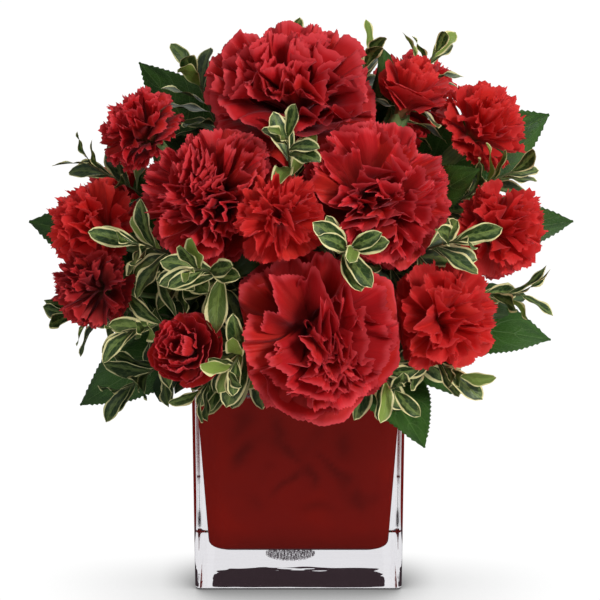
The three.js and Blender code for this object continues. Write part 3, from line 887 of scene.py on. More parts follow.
@dataclass(frozen=True)
class LiningFinish:
    """Deep red lining with a painted glow, painted shade in soft streaks, in blotches and towards its
    floor, and a plum painted reflection on its floor and low side corners.
    """

    name: str = "deep_red_lining"
    red: Colour = (0.040, 0.0024, 0.0018, 1)
    shade: Colour = (0.024, 0.0020, 0.0016, 1)
    warm: Colour = (0.047, 0.0024, 0.0016, 1)
    # The next colour is a painted reflection: the dull plum of the cavity floor and the low side corners.
    under: Colour = (0.0116, 0.0076, 0.0091, 1)
    floor: float = 0.0205
    # Painted glow: how strongly the lining gives off its own colour as light.
    glow: float = 2.5

    def build(self) -> bpy.types.Material:
        """Builds the material.

        Returns:
            The material.
        """
        material, shading, bsdf, _ = new_material(self.name)
        spot = shading.place()
        parts = shading.split(spot)
        soft = shading.noise(spot, 32.0, 2.0)
        colour = shading.mix(shading.ramp(soft, 0.5, 0.75), self.red, self.warm)
        # Painted shade: soft dark blotches.
        colour = shading.mix(shading.ramp(soft, 0.45, 0.30, 0.0, 0.5), colour, self.shade)
        # Painted shade: darker towards the cavity floor.
        foot = shading.ramp(parts[2], 0.038, 0.024, 0.0, 0.45)
        colour = shading.mix(foot, colour, self.shade)
        # Painted shadows of stems, which the tone attribute carries.
        colour = shading.mix(shading.tone(), colour, self.shade)
        # Painted reflection: the cavity floor and the low side corners take a dull plum in place of the
        # red, for the reflections that mix into them in the glass foot.
        low = shading.ramp(parts[2], self.floor + 0.002, self.floor)
        aside = shading.ramp(shading.math("ABSOLUTE", parts[0]), 0.034, 0.040)
        aside = shading.math("MULTIPLY", aside, shading.ramp(parts[1], -0.044, -0.038))
        aside = shading.math("MULTIPLY", aside, shading.ramp(parts[2], 0.033, 0.027))
        colour = shading.mix(shading.math("MAXIMUM", low, aside), colour, self.under)
        shading.fill(bsdf, {"Base Color": colour, "Roughness": 0.5, "Specular IOR Level": 0.0})
        # Painted glow: the lining gives off its own colour as light, though it is no lamp.
        shading.fill(bsdf, {"Emission Color": colour, "Emission Strength": self.glow})
        return material


@dataclass(frozen=True)
class GroundMarkFinish:
    """A stippled mark ground into the underside of the glass."""

    name: str = "ground_glass_mark"
    colour: Colour = (0.16, 0.11, 0.14, 1)

    def build(self) -> bpy.types.Material:
        """Builds the material.

        Returns:
            The material.
        """
        material, shading, bsdf, _ = new_material(self.name)
        dots = shading.noise(shading.stretched(shading.place(), (1100.0, 420.0, 1.0)), 1.0, 2.0, 0.7)
        alpha = shading.ramp(dots, 0.46, 0.54, 0.1, 0.9)
        shading.fill(bsdf, {"Base Color": self.colour, "Roughness": 0.8, "Alpha": alpha})
        return material


@dataclass(frozen=True)
class WaterFinish:
    """Still water."""

    name: str = "still_water"
    tint: Colour = (0.86, 0.93, 0.92, 1)
    index: float = 1.33

    def build(self) -> bpy.types.Material:
        """Builds the material.

        Returns:
            The material.
        """
        material, shading, bsdf, _ = new_material(self.name)
        shading.fill(bsdf, {"Base Color": self.tint, "Roughness": 0.0})
        shading.fill(bsdf, {"IOR": self.index, "Transmission Weight": 1.0})
        ripples = shading.noise(shading.place(), 60.0, 1.0)
        shading.feed(bsdf.inputs["Normal"], shading.bump(ripples, 0.1, 0.0005))
        return material


def dress(
    piece: bpy.types.Object, material: bpy.types.Material, slot: Slot, *nodes: str
) -> bpy.types.Object:
    """Gives a piece its material and its body, and hides the solids that it stands for.

    Args:
        piece: The piece.
        material: Its material.
        slot: Not used.
        nodes: The solids that it stands for.

    Returns:
        The piece.
    """
    piece.data.materials.clear()
    piece.data.materials.append(material)
    if nodes:
        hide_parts(*nodes)
    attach(piece, BODY)
    return piece


# The vase


@dataclass(frozen=True)
class Vase:
    """The square glass vase, thick at the foot, with its red lining and its water."""

    width: float = 0.110
    height: float = 0.114
    floor: float = 0.020
    foot_wall: float = 0.0075
    rim_wall: float = 0.002
    edge_radius: float = 0.002
    cavity_radius: float = 0.009
    cavity_fillet: float = 0.005
    rim_round: float = 0.0008
    lining_thickness: float = 0.0008
    lining_top: float = 0.111
    contact: float = 0.00005
    corner_steps: int = 10
    beside: float = 0.0004
    band: float = 0.0005
    mark_radius: float = 0.0135
    # Each painted shadow of a stem on the lining: its two ends, across and up, and its width in mm, then
    # its strength.
    shadows: tuple[tuple[float, float, float, float, float, float], ...] = (
        (-33, 72, -24, 85, 4.5, 0.50),
        (-34, 89, -25, 101, 4.5, 0.34),
        (-12, 99, -10, 82, 4.5, 0.40),
        (-13, 55, 3, 72, 2.4, 0.44),
        (3, 74, -13, 87, 3.0, 0.44),
        (3, 74, 10, 59, 2.6, 0.46),
        (4, 72, 5, 66, 4.0, 0.42),
        (11, 78, 27, 61, 2.6, 0.44),
        (21, 91, 26, 77, 5.0, 0.34),
        (31, 58, 32, 45, 3.4, 0.34),
        (0, 47, 16, 48, 4.0, 0.30),
        (-25, 50, -18, 50, 6.0, 0.20),
        (-36, 23, 36, 23, 5.0, 0.20),
    )

    def ring(self, half: float, radius: float, height: float, flats: int = 0) -> Array:
        """Makes a square ring with round corners, with a point close beside each end of an arc.

        Args:
            half: Half its width.
            radius: The radius of its corners.
            height: Its height.
            flats: How many more points each flat side has.

        Returns:
            The points of the ring.
        """
        points = []
        for corner in range(4):
            start = corner * math.pi / 2
            middle = turned(np.array([half - radius, half - radius, 0.0]), np.array([0.0, 0, 1]), start)
            angles = start + np.linspace(0, math.pi / 2, self.corner_steps + 1)
            arc = middle + radius * np.stack([np.cos(angles), np.sin(angles), 0 * angles], -1)
            first = arc[0] - self.beside * np.array([-math.sin(start), math.cos(start), 0])
            last = arc[-1] + self.beside * np.array([-math.cos(start), -math.sin(start), 0])
            following = turned(first, np.array([0.0, 0, 1]), math.pi / 2)
            shares = np.linspace(0, 1, flats + 2)[1:-1, None]
            points += [first, *arc, last, *(last + shares * (following - last))]
        return np.array(points) + [0, 0, height]

    def half_at(self, height: float, inset: float) -> float:
        """Returns half the cavity's width at a height."""
        share = (height - self.floor) / (self.height - self.floor)
        return self.width / 2 - (self.foot_wall + (self.rim_wall - self.foot_wall) * share) - inset

    def cavity(self, inset: float, top: float, rows: int, flats: int = 0) -> list[Array]:
        """Makes the rings of the cavity.

        Args:
            inset: How far inside the glass they lie.
            top: The height of the last ring.
            rows: How many rings the straight part has.
            flats: How many more points each flat side has.

        Returns:
            The rings, from the floor up.
        """
        radius = self.cavity_radius - inset
        rings = []
        for share in np.linspace(0, 1, 9):
            angle = share * math.pi / 2
            height = self.floor + inset + self.cavity_fillet * (1 - math.cos(angle))
            half = self.half_at(height, inset) - self.cavity_fillet * (1 - math.sin(angle))
            rings.append(self.ring(half, radius, height, flats))
        start = self.floor + inset + self.cavity_fillet
        for height in np.linspace(start + self.band, top, rows):
            rings.append(self.ring(self.half_at(height, inset), radius, height, flats))
        return rings

    def build_glass(self) -> bpy.types.Object:
        """Builds the glass block, with round edges and a rounded rim.

        Returns:
            The piece.
        """
        half, edge, lip = self.width / 2, self.edge_radius, self.rim_round
        rings = [self.ring(half - edge - self.band, edge, 0.0)]
        for angle in np.linspace(0, math.pi / 2, 7):
            inward, rise = edge * (1 - math.sin(angle)), edge * (1 - math.cos(angle))
            rings.append(self.ring(half - inward, edge, rise))
        rings.append(self.ring(half, edge, edge + self.band))
        rings.append(self.ring(half, edge, self.height - lip - self.band))
        for angle in np.linspace(0, math.pi / 2, 5):
            rise = self.height - lip * (1 - math.sin(angle))
            rings.append(self.ring(half - lip * (1 - math.cos(angle)), edge, rise))
        inner = self.cavity(0.0, self.height - lip, rows=6)
        for angle in np.linspace(math.pi / 2, 0.3, 4):
            rise = self.height - lip * (1 - math.sin(angle))
            inward = -lip * (1 - math.cos(angle))
            rings.append(self.ring(self.half_at(self.height, inward), self.cavity_radius, rise))
        rings += inner[::-1]
        draft = Draft()
        draft.add_solid(np.array(rings), 0.5, 0.5)
        piece = draft.build("vase_glass_block")
        weld(piece)
        return dress(piece, GlassFinish().build(), Slot.GLASS, "vase")

    def streaks(self, points: Array) -> Array:
        """Paints the shadows of stems on the lining, along the listed lines.

        Args:
            points: Points on the lining.

        Returns:
            A tone from 0 to 1 for each.
        """
        sideways = np.abs(points[..., 0]) > np.abs(points[..., 1])
        across = np.where(sideways, points[..., 1], points[..., 0] * -np.sign(points[..., 1]))
        height = points[..., 2] + 0.0010 * np.sin(across * 330 + 1.3)
        across = across + 0.0010 * np.sin(height * 260) + 0.0005 * np.sin(height * 730 + 2)
        tone = np.zeros(across.shape)
        for left, low, right, high, width, strength in self.shadows:
            run, rise = (right - left) * MM, (high - low) * MM
            share = ((across - left * MM) * run + (height - low * MM) * rise) / (run**2 + rise**2)
            share = np.clip(share, 0, 1)
            away = np.hypot(across - left * MM - share * run, height - low * MM - share * rise)
            faded = 2.1 * strength * (1 - 0.55 * (2 * share - 1) ** 2)
            tone = np.maximum(tone, faded * np.exp(-((away / (0.8 * width * MM)) ** 2)))
        return tone

    def build_lining(self) -> bpy.types.Object:
        """Builds the lining, with painted stem shadows as darker streaks.

        Returns:
            The piece.
        """
        outer = self.cavity(-self.contact, self.lining_top, 34, 40)
        inner = self.cavity(GAP + self.lining_thickness, self.lining_top, 34, 40)
        draft = Draft()
        grid = np.array(outer + inner[::-1])
        draft.add_solid(grid, self.streaks(grid), 0.0)
        piece = draft.build("vase_red_lining")
        weld(piece)
        return dress(piece, LiningFinish().build(), Slot.LINING, "vase_lining")

    def build_mark(self) -> bpy.types.Object:
        """Builds the stippled mark on the underside.

        Returns:
            The piece.
        """
        angles = np.linspace(0, 2 * np.pi, 48, endpoint=False)
        spokes = np.stack([np.cos(angles), np.sin(angles), 0 * angles], -1)
        middle = np.array([-0.0045, 0.012, 0.0004])
        rings = np.array([middle + spokes * radius for radius in np.linspace(0.0005, self.mark_radius, 6)])
        draft = Draft()
        draft.add_grid(rings, 0.5, closed=True)
        draft.add_cap(rings[0], 0.5)
        return dress(draft.build("vase_ground_mark"), GroundMarkFinish().build(), Slot.GLASS)

    def build(self) -> list[bpy.types.Object]:
        """Builds the glass and its lining, and dresses the water.

        Returns:
            The pieces.
        """
        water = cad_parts["water"]
        water.data.materials.clear()
        water.data.materials.append(WaterFinish().build())
        return [self.build_glass(), self.build_lining(), self.build_mark(), water]


def weld(piece: bpy.types.Object) -> None:
    """Merges the points of a piece that lie on each other.

    Args:
        piece: The piece whose points that lie together become one.
    """
    mesh = bmesh.new()
    mesh.from_mesh(piece.data)
    bmesh.ops.remove_doubles(mesh, verts=mesh.verts, dist=1e-6)
    bmesh.ops.recalc_face_normals(mesh, faces=mesh.faces)
    mesh.to_mesh(piece.data)
    mesh.free()


# Stems


@dataclass(frozen=True)
class StemSize:
    """The radius of a stem and of its branches, and how far past the rim it forks."""

    radius: float
    branch: float
    fork: float


STANDARD_STEM = StemSize(0.0023, 0.0023, 0.0)
SPRAY_STEM = StemSize(0.0017, 0.0013, 0.008)
TWIG = StemSize(0.0012, 0.0009, 0.002)
LEAF_STALK = StemSize(0.0014, 0.0011, 0.002)
# The heights of a stem's foot and of the rim that it leans on, and how strongly it bends.
STEM_FOOT = 0.0223
STEM_RIM = 0.113
BEND = 0.42


@dataclass(frozen=True)
class Run:
    """One way along a stem to one of its ends."""

    points: Array
    radius: float
    head: str = ""

    def spots(self, count: int) -> Array:
        """Returns points evenly spaced along the run.

        Args:
            count: How many points.

        Returns:
            The points, from the foot up.
        """
        steps = np.linalg.norm(np.diff(self.points, axis=0), axis=1)
        length = np.concatenate([[0], np.cumsum(steps)])
        at = np.linspace(0, length[-1], count)
        return np.stack([np.interp(at, length, self.points[:, axis]) for axis in range(3)], -1)

    def length(self) -> float:
        """Returns the length of the run."""
        return float(np.linalg.norm(np.diff(self.points, axis=0), axis=1).sum())

    def at_back(self, back: float) -> tuple[Array, Array]:
        """Returns the point and the direction at a distance back from the run's end.

        Args:
            back: How far below the top, in metres.

        Returns:
            The point and the direction of the run there.
        """
        steps = 239
        spots = self.spots(steps + 1)
        at = max(0.0, 1 - back / self.length()) * steps
        index = min(int(at), steps - 1)
        point = spots[index] + (spots[index + 1] - spots[index]) * (at - index)
        heading = spots[min(index + 2, steps)] - spots[max(index - 2, 0)]
        return point, unit(heading)


def route(
    rim: tuple[float, float], foot: float, ends: list[tuple[Array, Array, str]], size: StemSize
) -> list[Run]:
    """Lays a stem from the vase's floor past its rim to its ends.

    Args:
        rim: Its bearing and radius where it crosses the rim.
        foot: The radius of its foot round the vase's axis.
        ends: Each end's point, its direction and the head that it carries.
        size: The sizes of the stem.

    Returns:
        A run for each end. The first has the straight part below the fork.
    """
    start = level((rim[0], foot), STEM_FOOT)
    edge = level(rim, STEM_RIM)
    along = unit(edge - start)
    fork = edge + along * size.fork
    runs = []
    for index, (point, facing, head) in enumerate(ends):
        pull = np.linalg.norm(point - fork) * BEND
        curve, _ = bezier([fork, fork + along * pull, point - facing * pull, point], np.linspace(0, 1, 40))
        if index == 0:
            straight = start + np.linspace(0, 1, 20, endpoint=False)[:, None] * (fork - start)
            curve = np.concatenate([straight, curve])
        runs.append(Run(curve, size.radius if index == 0 else size.branch, head))
    return runs


# Flower heads


@dataclass(frozen=True)
class CalyxSize:
    """The length of a calyx and its radii at the foot, the belly and the mouth."""

    length: float
    foot: float
    belly: float
    mouth: float


STANDARD_CALYX = CalyxSize(0.025, 0.0034, 0.0072, 0.008)
SPRAY_CALYX = CalyxSize(0.016, 0.0022, 0.0044, 0.0048)
# The slope of the cone that the petals sit in, and how far it stands out past the calyx.
SEAT_ANGLE = math.radians(125)
SEAT_OVERHANG = 0.0004


@dataclass(frozen=True)
class Petal:
    """One petal: its place in the head, in radians and shares of the head's radius, and its bends."""

    spin: float
    polar: float
    curl: float
    width: float
    reach: float
    ruffle: float
    waves: float
    fold: float
    twist: float
    inside: float


@dataclass(frozen=True)
class Feature:
    """A petal that stands out, at a clock angle and a polar angle from the head's facing, in degrees."""

    clock: float
    polar: float
    width: float
    curl: float
    ruffle: float = 0.025
    reach: float = 1.02
    fold: float = 0.0
    waves: float = 1.1


@dataclass(frozen=True)
class FormShape:
    """How the petals of one form of head stand, in shares of its radius and in degrees."""

    seat: float
    petals: int
    rows: int
    columns: int
    outer: float
    inner: float
    outer_width: float
    inner_width: float
    outer_curl: float
    inner_curl: float
    ruffle: float
    wrap: float
    twist: float
    fold: float
    broad: float
    crowding: float
    tooth: float
    frill: float
    depth: float


LARGE_FORMS = (HeadForm.STANDARD, HeadForm.OPEN, HeadForm.DOMED)
# The sizes of the forms in the order of HeadForm: open, domed, standard, spray, cup and half open.
FORM_SIZES = {
    "seat": (0.42, 0.42, 0.42, 0.42, 0.60, 0.70),
    "petals": (46, 50, 58, 31, 30, 18),
    "rows": (13, 13, 13, 11, 10, 11),
    "columns": (50, 50, 50, 38, 30, 32),
    "outer": (104, 104, 104, 101, 66, 52),
    "inner": (8, 8, 6, 8, 5, 8),
    "outer_width": (0.60, 0.54, 0.48, 0.52, 0.60, 0.76),
    "inner_width": (0.20, 0.34, 0.27, 0.34, 0.38, 0.50),
    "outer_curl": (26, 26, 24, 22, -40, 18),
    "inner_curl": (4, 12, 6, 6, -34, -8),
    "ruffle": (0.070, 0.080, 0.078, 0.095, 0.035, 0.045),
    "wrap": (0.28, 0.28, 0.28, 0.28, 1.0, 0.5),
    "twist": (46, 30, 36, 36, 8, 8),
    "fold": (0.6, 0.35, 0.5, 0.5, 0.1, 0.1),
    "broad": (0.5, 0.45, 0.4, 0.2, 0.0, 0.5),
    "crowding": (1.45, 1.0, 0.86, 0.85, 0.95, 0.85),
    "tooth": (0.0008, 0.0007, 0.0008, 0.0009, 0.0004, 0.0005),
    "frill": (0.0009, 0.0010, 0.0010, 0.0009, 0.0003, 0.0004),
    "depth": (0.74, 0.97, 0.86, 0.86, 0.86, 0.86),
}
FORMS = {
    form: FormShape(**{key: values[index] for key, values in FORM_SIZES.items()})
    for index, form in enumerate(HeadForm)
}


@dataclass(frozen=True)
class Head:
    """One carnation: ruffled toothed petals that stand in a spiral out of its calyx."""

    name: str
    form: HeadForm
    at: Place
    radius: float
    face: tuple[float, float]
    seed: int
    heart: tuple[float, float] | None = None
    features: tuple[Feature, ...] = ()

    @property
    def shape(self) -> FormShape:
        """Returns how its petals stand."""
        return FORMS[self.form]

    @property
    def calyx(self) -> CalyxSize:
        """Returns the size of its calyx."""
        return STANDARD_CALYX if self.form in LARGE_FORMS else SPRAY_CALYX

    @property
    def facing(self) -> Array:
        """Returns the direction that it faces."""
        return direction(*self.face)

    @property
    def middle(self) -> Array:
        """Returns the middle of the ball of petals."""
        return place(self.at)

    @property
    def origin(self) -> Array:
        """Returns the point that its petals spread from."""
        return self.middle - self.facing * self.shape.seat * self.radius

    @property
    def seat_depth(self) -> float:
        """Returns how far below the origin the petals' seat is."""
        return -(self.calyx.mouth + SEAT_OVERHANG) / math.tan(SEAT_ANGLE)

    @property
    def base(self) -> Array:
        """Returns the foot of its calyx."""
        return self.origin - self.facing * (self.seat_depth + GAP + self.calyx.length)

    @property
    def basis(self) -> Array:
        """Returns the head's own axes: across, upward and facing."""
        across = unit(np.cross(self.facing, [0.3, 0.2, 1.0]))
        return np.stack([across, np.cross(self.facing, across), self.facing])

    def reach(self, polar: Array) -> Array:
        """Returns the distance from the origin to the ball, at an angle from the facing."""
        depth = self.shape.seat * self.radius
        return depth * np.cos(polar) + np.sqrt(self.radius**2 - (depth * np.sin(polar)) ** 2)

    def spiral(self, rng: np.random.Generator) -> list[Petal]:
        """Draws the petals of the head, from the outermost to the innermost.

        Args:
            rng: The head's random numbers.

        Returns:
            The petals.
        """
        shape, petals = self.shape, []
        for number in range(shape.petals):
            depth = number / (shape.petals - 1)
            inside = float(smoothstep(0.1, 0.7, np.array(depth)))
            broad = 1.0 if rng.uniform() < shape.broad and 0.08 < depth < 0.5 else 0.0
            polar = shape.inner + (shape.outer - shape.inner) * (1 - depth) ** shape.crowding
            polar = max(polar + rng.uniform(-5, 5), 2.0)
            curl = shape.outer_curl + (shape.inner_curl - shape.outer_curl) * depth
            curl += rng.uniform(-12, 12) * (1 + 1.2 * inside) + broad * rng.choice([-35, 30])
            width = shape.outer_width + (shape.inner_width - shape.outer_width) * depth
            width *= rng.uniform(0.88, 1.15) * (1 + 0.35 * broad)
            top = shape.depth + (1 - shape.depth) * min(1.0, polar / 60)
            petals.append(
                Petal(
                    spin=number * GOLDEN_TURN + rng.uniform(-0.25, 0.25) * (1 + inside),
                    polar=math.radians(polar),
                    curl=math.radians(curl),
                    width=width,
                    reach=top * rng.uniform(0.92, 1.05),
                    ruffle=shape.ruffle * (0.5 + 0.95 * inside) * (1 - 0.55 * broad),
                    waves=rng.uniform(0.9, 1.9) * (1 + 0.25 * inside),
                    fold=shape.fold * rng.uniform(-1, 1) * (0.15 + 0.85 * inside),
                    twist=math.radians(shape.twist) * rng.uniform(-1, 1) * (0.15 + 0.85 * inside),
                    inside=inside,
                )
            )
        right = unit(np.cross([0.0, 0.0, 1.0], self.facing))
        top = np.cross(self.facing, right)
        for feature in self.features:
            clock = math.radians(feature.clock)
            local = self.basis @ (math.cos(clock) * right + math.sin(clock) * top)
            petals.append(
                Petal(
                    spin=math.atan2(local[1], local[0]),
                    polar=math.radians(feature.polar),
                    curl=math.radians(feature.curl),
                    width=feature.width,
                    reach=feature.reach,
                    ruffle=feature.ruffle,
                    waves=feature.waves,
                    fold=feature.fold,
                    twist=0.0,
                    inside=0.1,
                )
            )
        return petals

    def petal(self, petal: Petal, rng: np.random.Generator) -> Array:
        """Makes the grid of one petal in the head's own frame.

        Args:
            petal: Where the petal stands and how it is bent.
            rng: The head's random numbers.

        Returns:
            Rows by columns of points across, upward and along the facing from the origin.
        """
        # The middle line, from the claw in the calyx to the edge.
        shape, radius = self.shape, self.radius
        reach = float(self.reach(np.array(petal.polar))) * petal.reach
        width = petal.width * radius
        tip = reach * np.array([math.sin(petal.polar), math.cos(petal.polar)])
        start = np.array([(0.12 + 0.55 * (1 - petal.inside)) * self.calyx.mouth, -self.seat_depth])
        lift = np.array([0.0, 1.0]) * (0.30 + 0.2 * petal.inside) * reach
        heading = petal.polar + petal.curl
        draw = 0.38 * reach * np.array([math.sin(heading), math.cos(heading)])
        controls = [start, start + lift, tip - draw, tip]

        # The outline, with a round edge, lobes and teeth.
        v = (np.linspace(0, 1, shape.rows) ** 0.8)[:, None]
        u = np.linspace(-1, 1, shape.columns)[None, :]
        span = np.clip((v - 0.16) / 0.84, 0, 1)
        phases = rng.uniform(0, 2 * np.pi, 8)
        round_off = rng.uniform(0.28, 0.5) * width / reach
        along = v - round_off * span**1.5 * np.abs(u) ** 2.6
        lobes = np.sin(np.pi * rng.uniform(1.5, 2.6) * u + phases[0])
        lobes = lobes + 0.6 * np.sin(np.pi * 5.2 * u + phases[1])
        along = along + 1.1 * shape.frill / reach * span**4 * lobes
        teeth = np.where(np.arange(shape.columns) % 2, 1.0, -1.0) * rng.uniform(0.3, 1.0, shape.columns)
        along[-1] += shape.tooth / reach * teeth
        points, tangents = bezier(controls, along)
        sideways = u * width * (0.07 + 0.93 * span**0.75)

        # The surface, wrapped round the head, creased, dished, ruffled and twisted.
        swing = shape.wrap * sideways / np.maximum(points[..., 0], 0.32 * width)
        beyond = sideways * (1 - shape.wrap)
        crease = petal.fold * span * (np.sqrt(sideways**2 + 4e-6) - 0.002)
        dish = rng.uniform(-0.5, 0.9) * (1 - petal.inside) * sideways**2 / radius
        bend = 1.7 * np.sin(2.2 * v + phases[2])
        ruffle = np.sin(np.pi * petal.waves * u + phases[3] + bend)
        ruffle = ruffle + 0.42 * np.sin(np.pi * 2.2 * petal.waves * u + phases[4] + 1.5 * v)
        ruffle = ruffle + 0.16 * span**2 * np.sin(np.pi * 4.3 * petal.waves * u + phases[5] - 1.1 * v)
        frill = np.sin(np.pi * rng.uniform(5.0, 7.5) * u + phases[6])
        frill = frill * (0.6 + 0.4 * np.sin(4 * u + phases[7]))
        lifted = 1.2 * petal.ruffle * radius * span**2.3 * ruffle + crease + dish
        lifted = lifted + shape.frill * span**7 * frill
        angle = petal.twist * span
        lifted, beyond = lifted * np.cos(angle) + beyond * np.sin(angle), beyond * np.cos(angle)

        # The place in the head.
        out = points[..., 0] + tangents[..., 1] * lifted
        up = points[..., 1] - tangents[..., 0] * lifted
        angle = petal.spin + swing
        flat_x = out * np.cos(angle) - beyond * np.sin(angle)
        flat_y = out * np.sin(angle) + beyond * np.cos(angle)
        return np.stack([flat_x, flat_y, up], -1)

    def build(self, cuts: list[tuple[Array, float]], material: bpy.types.Material) -> bpy.types.Object:
        """Builds the head's petals.

        Args:
            cuts: Half-spaces that keep it clear of its neighbours, each a normal and an offset.
            material: The petals' material.

        Returns:
            The piece.
        """
        rng = np.random.default_rng(self.seed)
        basis = self.basis
        lean = basis @ (direction(*(self.heart or self.face)) - self.facing)
        draft = Draft()
        for petal in self.spiral(rng):
            local = self.petal(petal, rng)
            top = smoothstep(0.25, 0.9, local[..., 2] / self.reach(0.0))
            away = np.linalg.norm(local[..., :2], axis=-1) / (0.75 * self.radius)
            local[..., :2] += (self.radius * top * np.exp(-(away**2)))[..., None] * lean[:2]
            distance = np.linalg.norm(local, axis=-1)
            polar = np.arccos(np.clip(local[..., 2] / np.maximum(distance, 1e-9), -1, 1))
            limit = max(1.06, petal.reach) * self.reach(polar)
            scale = eased(distance, limit, 0.07 * self.radius) / np.maximum(distance, 1e-9)
            points = self.origin + (local * scale[..., None]) @ basis
            for normal, offset in cuts:
                ahead = points @ normal - offset
                points = points + (eased(ahead, np.array(0.0), 0.004) - ahead)[..., None] * normal
            draft.add_grid(points, rng.uniform(0, 1))
        piece = draft.build(self.name + "_petals")
        return dress(piece, material, Slot.PETALS, self.name)


HEARTS = {
    "carnation_top": (-120, 66),
    "carnation_left": (-116, 20),
    "carnation_right": (-52, 22),
    "carnation_front": (-72, -5),
}
FEATURES = {
    "carnation_top": (
        Feature(-32, 92, 0.60, 46, ruffle=0.012, reach=1.06),
        Feature(-8, 80, 0.55, 40, reach=1.05),
        Feature(-92, 88, 0.34, 50, ruffle=0.012, fold=0.2),
        Feature(150, 88, 0.42, 20, ruffle=0.07, reach=1.10, waves=1.9),
        Feature(176, 80, 0.40, 16, ruffle=0.07, reach=1.06, waves=2.2),
        Feature(166, 62, 0.38, 24, ruffle=0.07, reach=1.13, waves=2.0),
        Feature(178, 48, 0.34, 16, ruffle=0.08, reach=1.14, waves=2.3),
        Feature(160, 34, 0.34, 16, ruffle=0.08, reach=1.10, waves=2.3),
        Feature(14, 38, 0.40, 18, ruffle=0.07, reach=1.08, waves=2.0),
        Feature(-140, 70, 0.5, 30),
        Feature(122, 46, 0.36, 18, ruffle=0.07, reach=1.09, waves=2.1),
        Feature(98, 40, 0.34, 16, ruffle=0.07, reach=1.08, waves=1.8),
        Feature(70, 42, 0.34, 18, ruffle=0.07, reach=1.06, waves=2.2),
        Feature(148, 50, 0.38, 20, ruffle=0.06, reach=1.14, waves=2.0),
    ),
    "spray_carnation_half_open": (
        Feature(176, 52, 0.90, 6, ruffle=0.02, reach=1.0),
        Feature(118, 60, 0.70, 20, ruffle=0.02),
        Feature(-122, 58, 0.70, 18, ruffle=0.02),
    ),
    "carnation_left": (
        Feature(14, 52, 0.55, 48, ruffle=0.02, reach=1.09),
        Feature(52, 56, 0.50, 36, ruffle=0.02, reach=1.07),
        Feature(-75, 64, 0.46, 30, reach=1.05),
    ),
    "carnation_right": (
        Feature(-66, 66, 0.42, 44, ruffle=0.01, reach=1.09, fold=0.2),
        Feature(-30, 74, 0.50, 34, ruffle=0.02, reach=1.06),
        Feature(178, 66, 0.6, -22),
        Feature(85, 66, 0.60, 18, ruffle=0.04, reach=1.06, waves=1.8),
    ),
    "carnation_front": (
        Feature(140, 78, 0.60, 26, ruffle=0.02),
        Feature(12, 60, 0.72, 34, ruffle=0.02),
        Feature(-52, 86, 0.60, 28, ruffle=0.02),
        Feature(-95, 92, 0.62, 24, ruffle=0.02),
        Feature(178, 86, 0.55, 28, ruffle=0.03),
    ),
}
HEADS = [
    Head(name, form, at, radius, face, seed + 1, HEARTS.get(name), FEATURES.get(name, ()))
    for seed, (name, form, at, radius, face) in enumerate(
        [
            ("carnation_top", HeadForm.DOMED, (-95, 82, 0.099), 0.043, (-98, 74)),
            ("carnation_left", HeadForm.STANDARD, (-124, 42, 0.101), 0.036, (-130, 40)),
            ("carnation_right", HeadForm.STANDARD, (-60, 42, 0.100), 0.038, (-66, 34)),
            ("carnation_front", HeadForm.OPEN, (-85, 4, 0.094), 0.045, (-82, 24)),
            ("carnation_back_left", HeadForm.STANDARD, (118, 42, 0.100), 0.038, (118, 44)),
            ("carnation_back_right", HeadForm.STANDARD, (62, 20, 0.098), 0.040, (62, 30)),
            ("spray_carnation_upper_left", HeadForm.SPRAY, (-172, 46, 0.118), 0.023, (-172, 50)),
            ("spray_carnation_left", HeadForm.SPRAY, (-161, 20, 0.117), 0.026, (-156, 30)),
            ("spray_carnation_lower_left", HeadForm.SPRAY, (-148, 9, 0.123), 0.021, (-140, 22)),
            ("spray_carnation_middle", HeadForm.SPRAY, (-96, 36, 0.111), 0.025, (-98, 38)),
            ("spray_carnation_cup", HeadForm.CUP, (-118, 1, 0.117), 0.019, (-112, 30)),
            ("spray_carnation_half_open", HeadForm.HALF_OPEN, (-6, 61, 0.121), 0.019, (4, 68)),
            ("spray_carnation_upper_right", HeadForm.SPRAY, (3, 40, 0.125), 0.025, (2, 44)),
            ("spray_carnation_right", HeadForm.SPRAY, (-20, 20, 0.117), 0.025, (-26, 28)),
            ("spray_carnation_lower_right", HeadForm.SPRAY, (-49, 5, 0.110), 0.029, (-52, 24)),
            ("spray_carnation_back_low_left", HeadForm.SPRAY, (150, 12, 0.110), 0.026, (150, 26)),
            ("spray_carnation_back_low", HeadForm.SPRAY, (104, 4, 0.112), 0.025, (104, 22)),
            ("spray_carnation_back_top", HeadForm.SPRAY, (38, 47, 0.115), 0.025, (38, 50)),
            ("spray_carnation_back_low_right", HeadForm.SPRAY, (22, 4, 0.112), 0.025, (22, 22)),
        ]
    )
]
HEAD_NAMED = {head.name: head for head in HEADS}
# The heads that take the lit copy of the petals, and the one that takes the shaded copy.
SCARLET_LIT_HEADS = (
    "spray_carnation_left",
    "spray_carnation_middle",
    "spray_carnation_half_open",
    "spray_carnation_upper_right",
    "spray_carnation_right",
    "spray_carnation_lower_right",
    "spray_carnation_back_low",
)
SHADED_HEADS = ("spray_carnation_lower_left",)


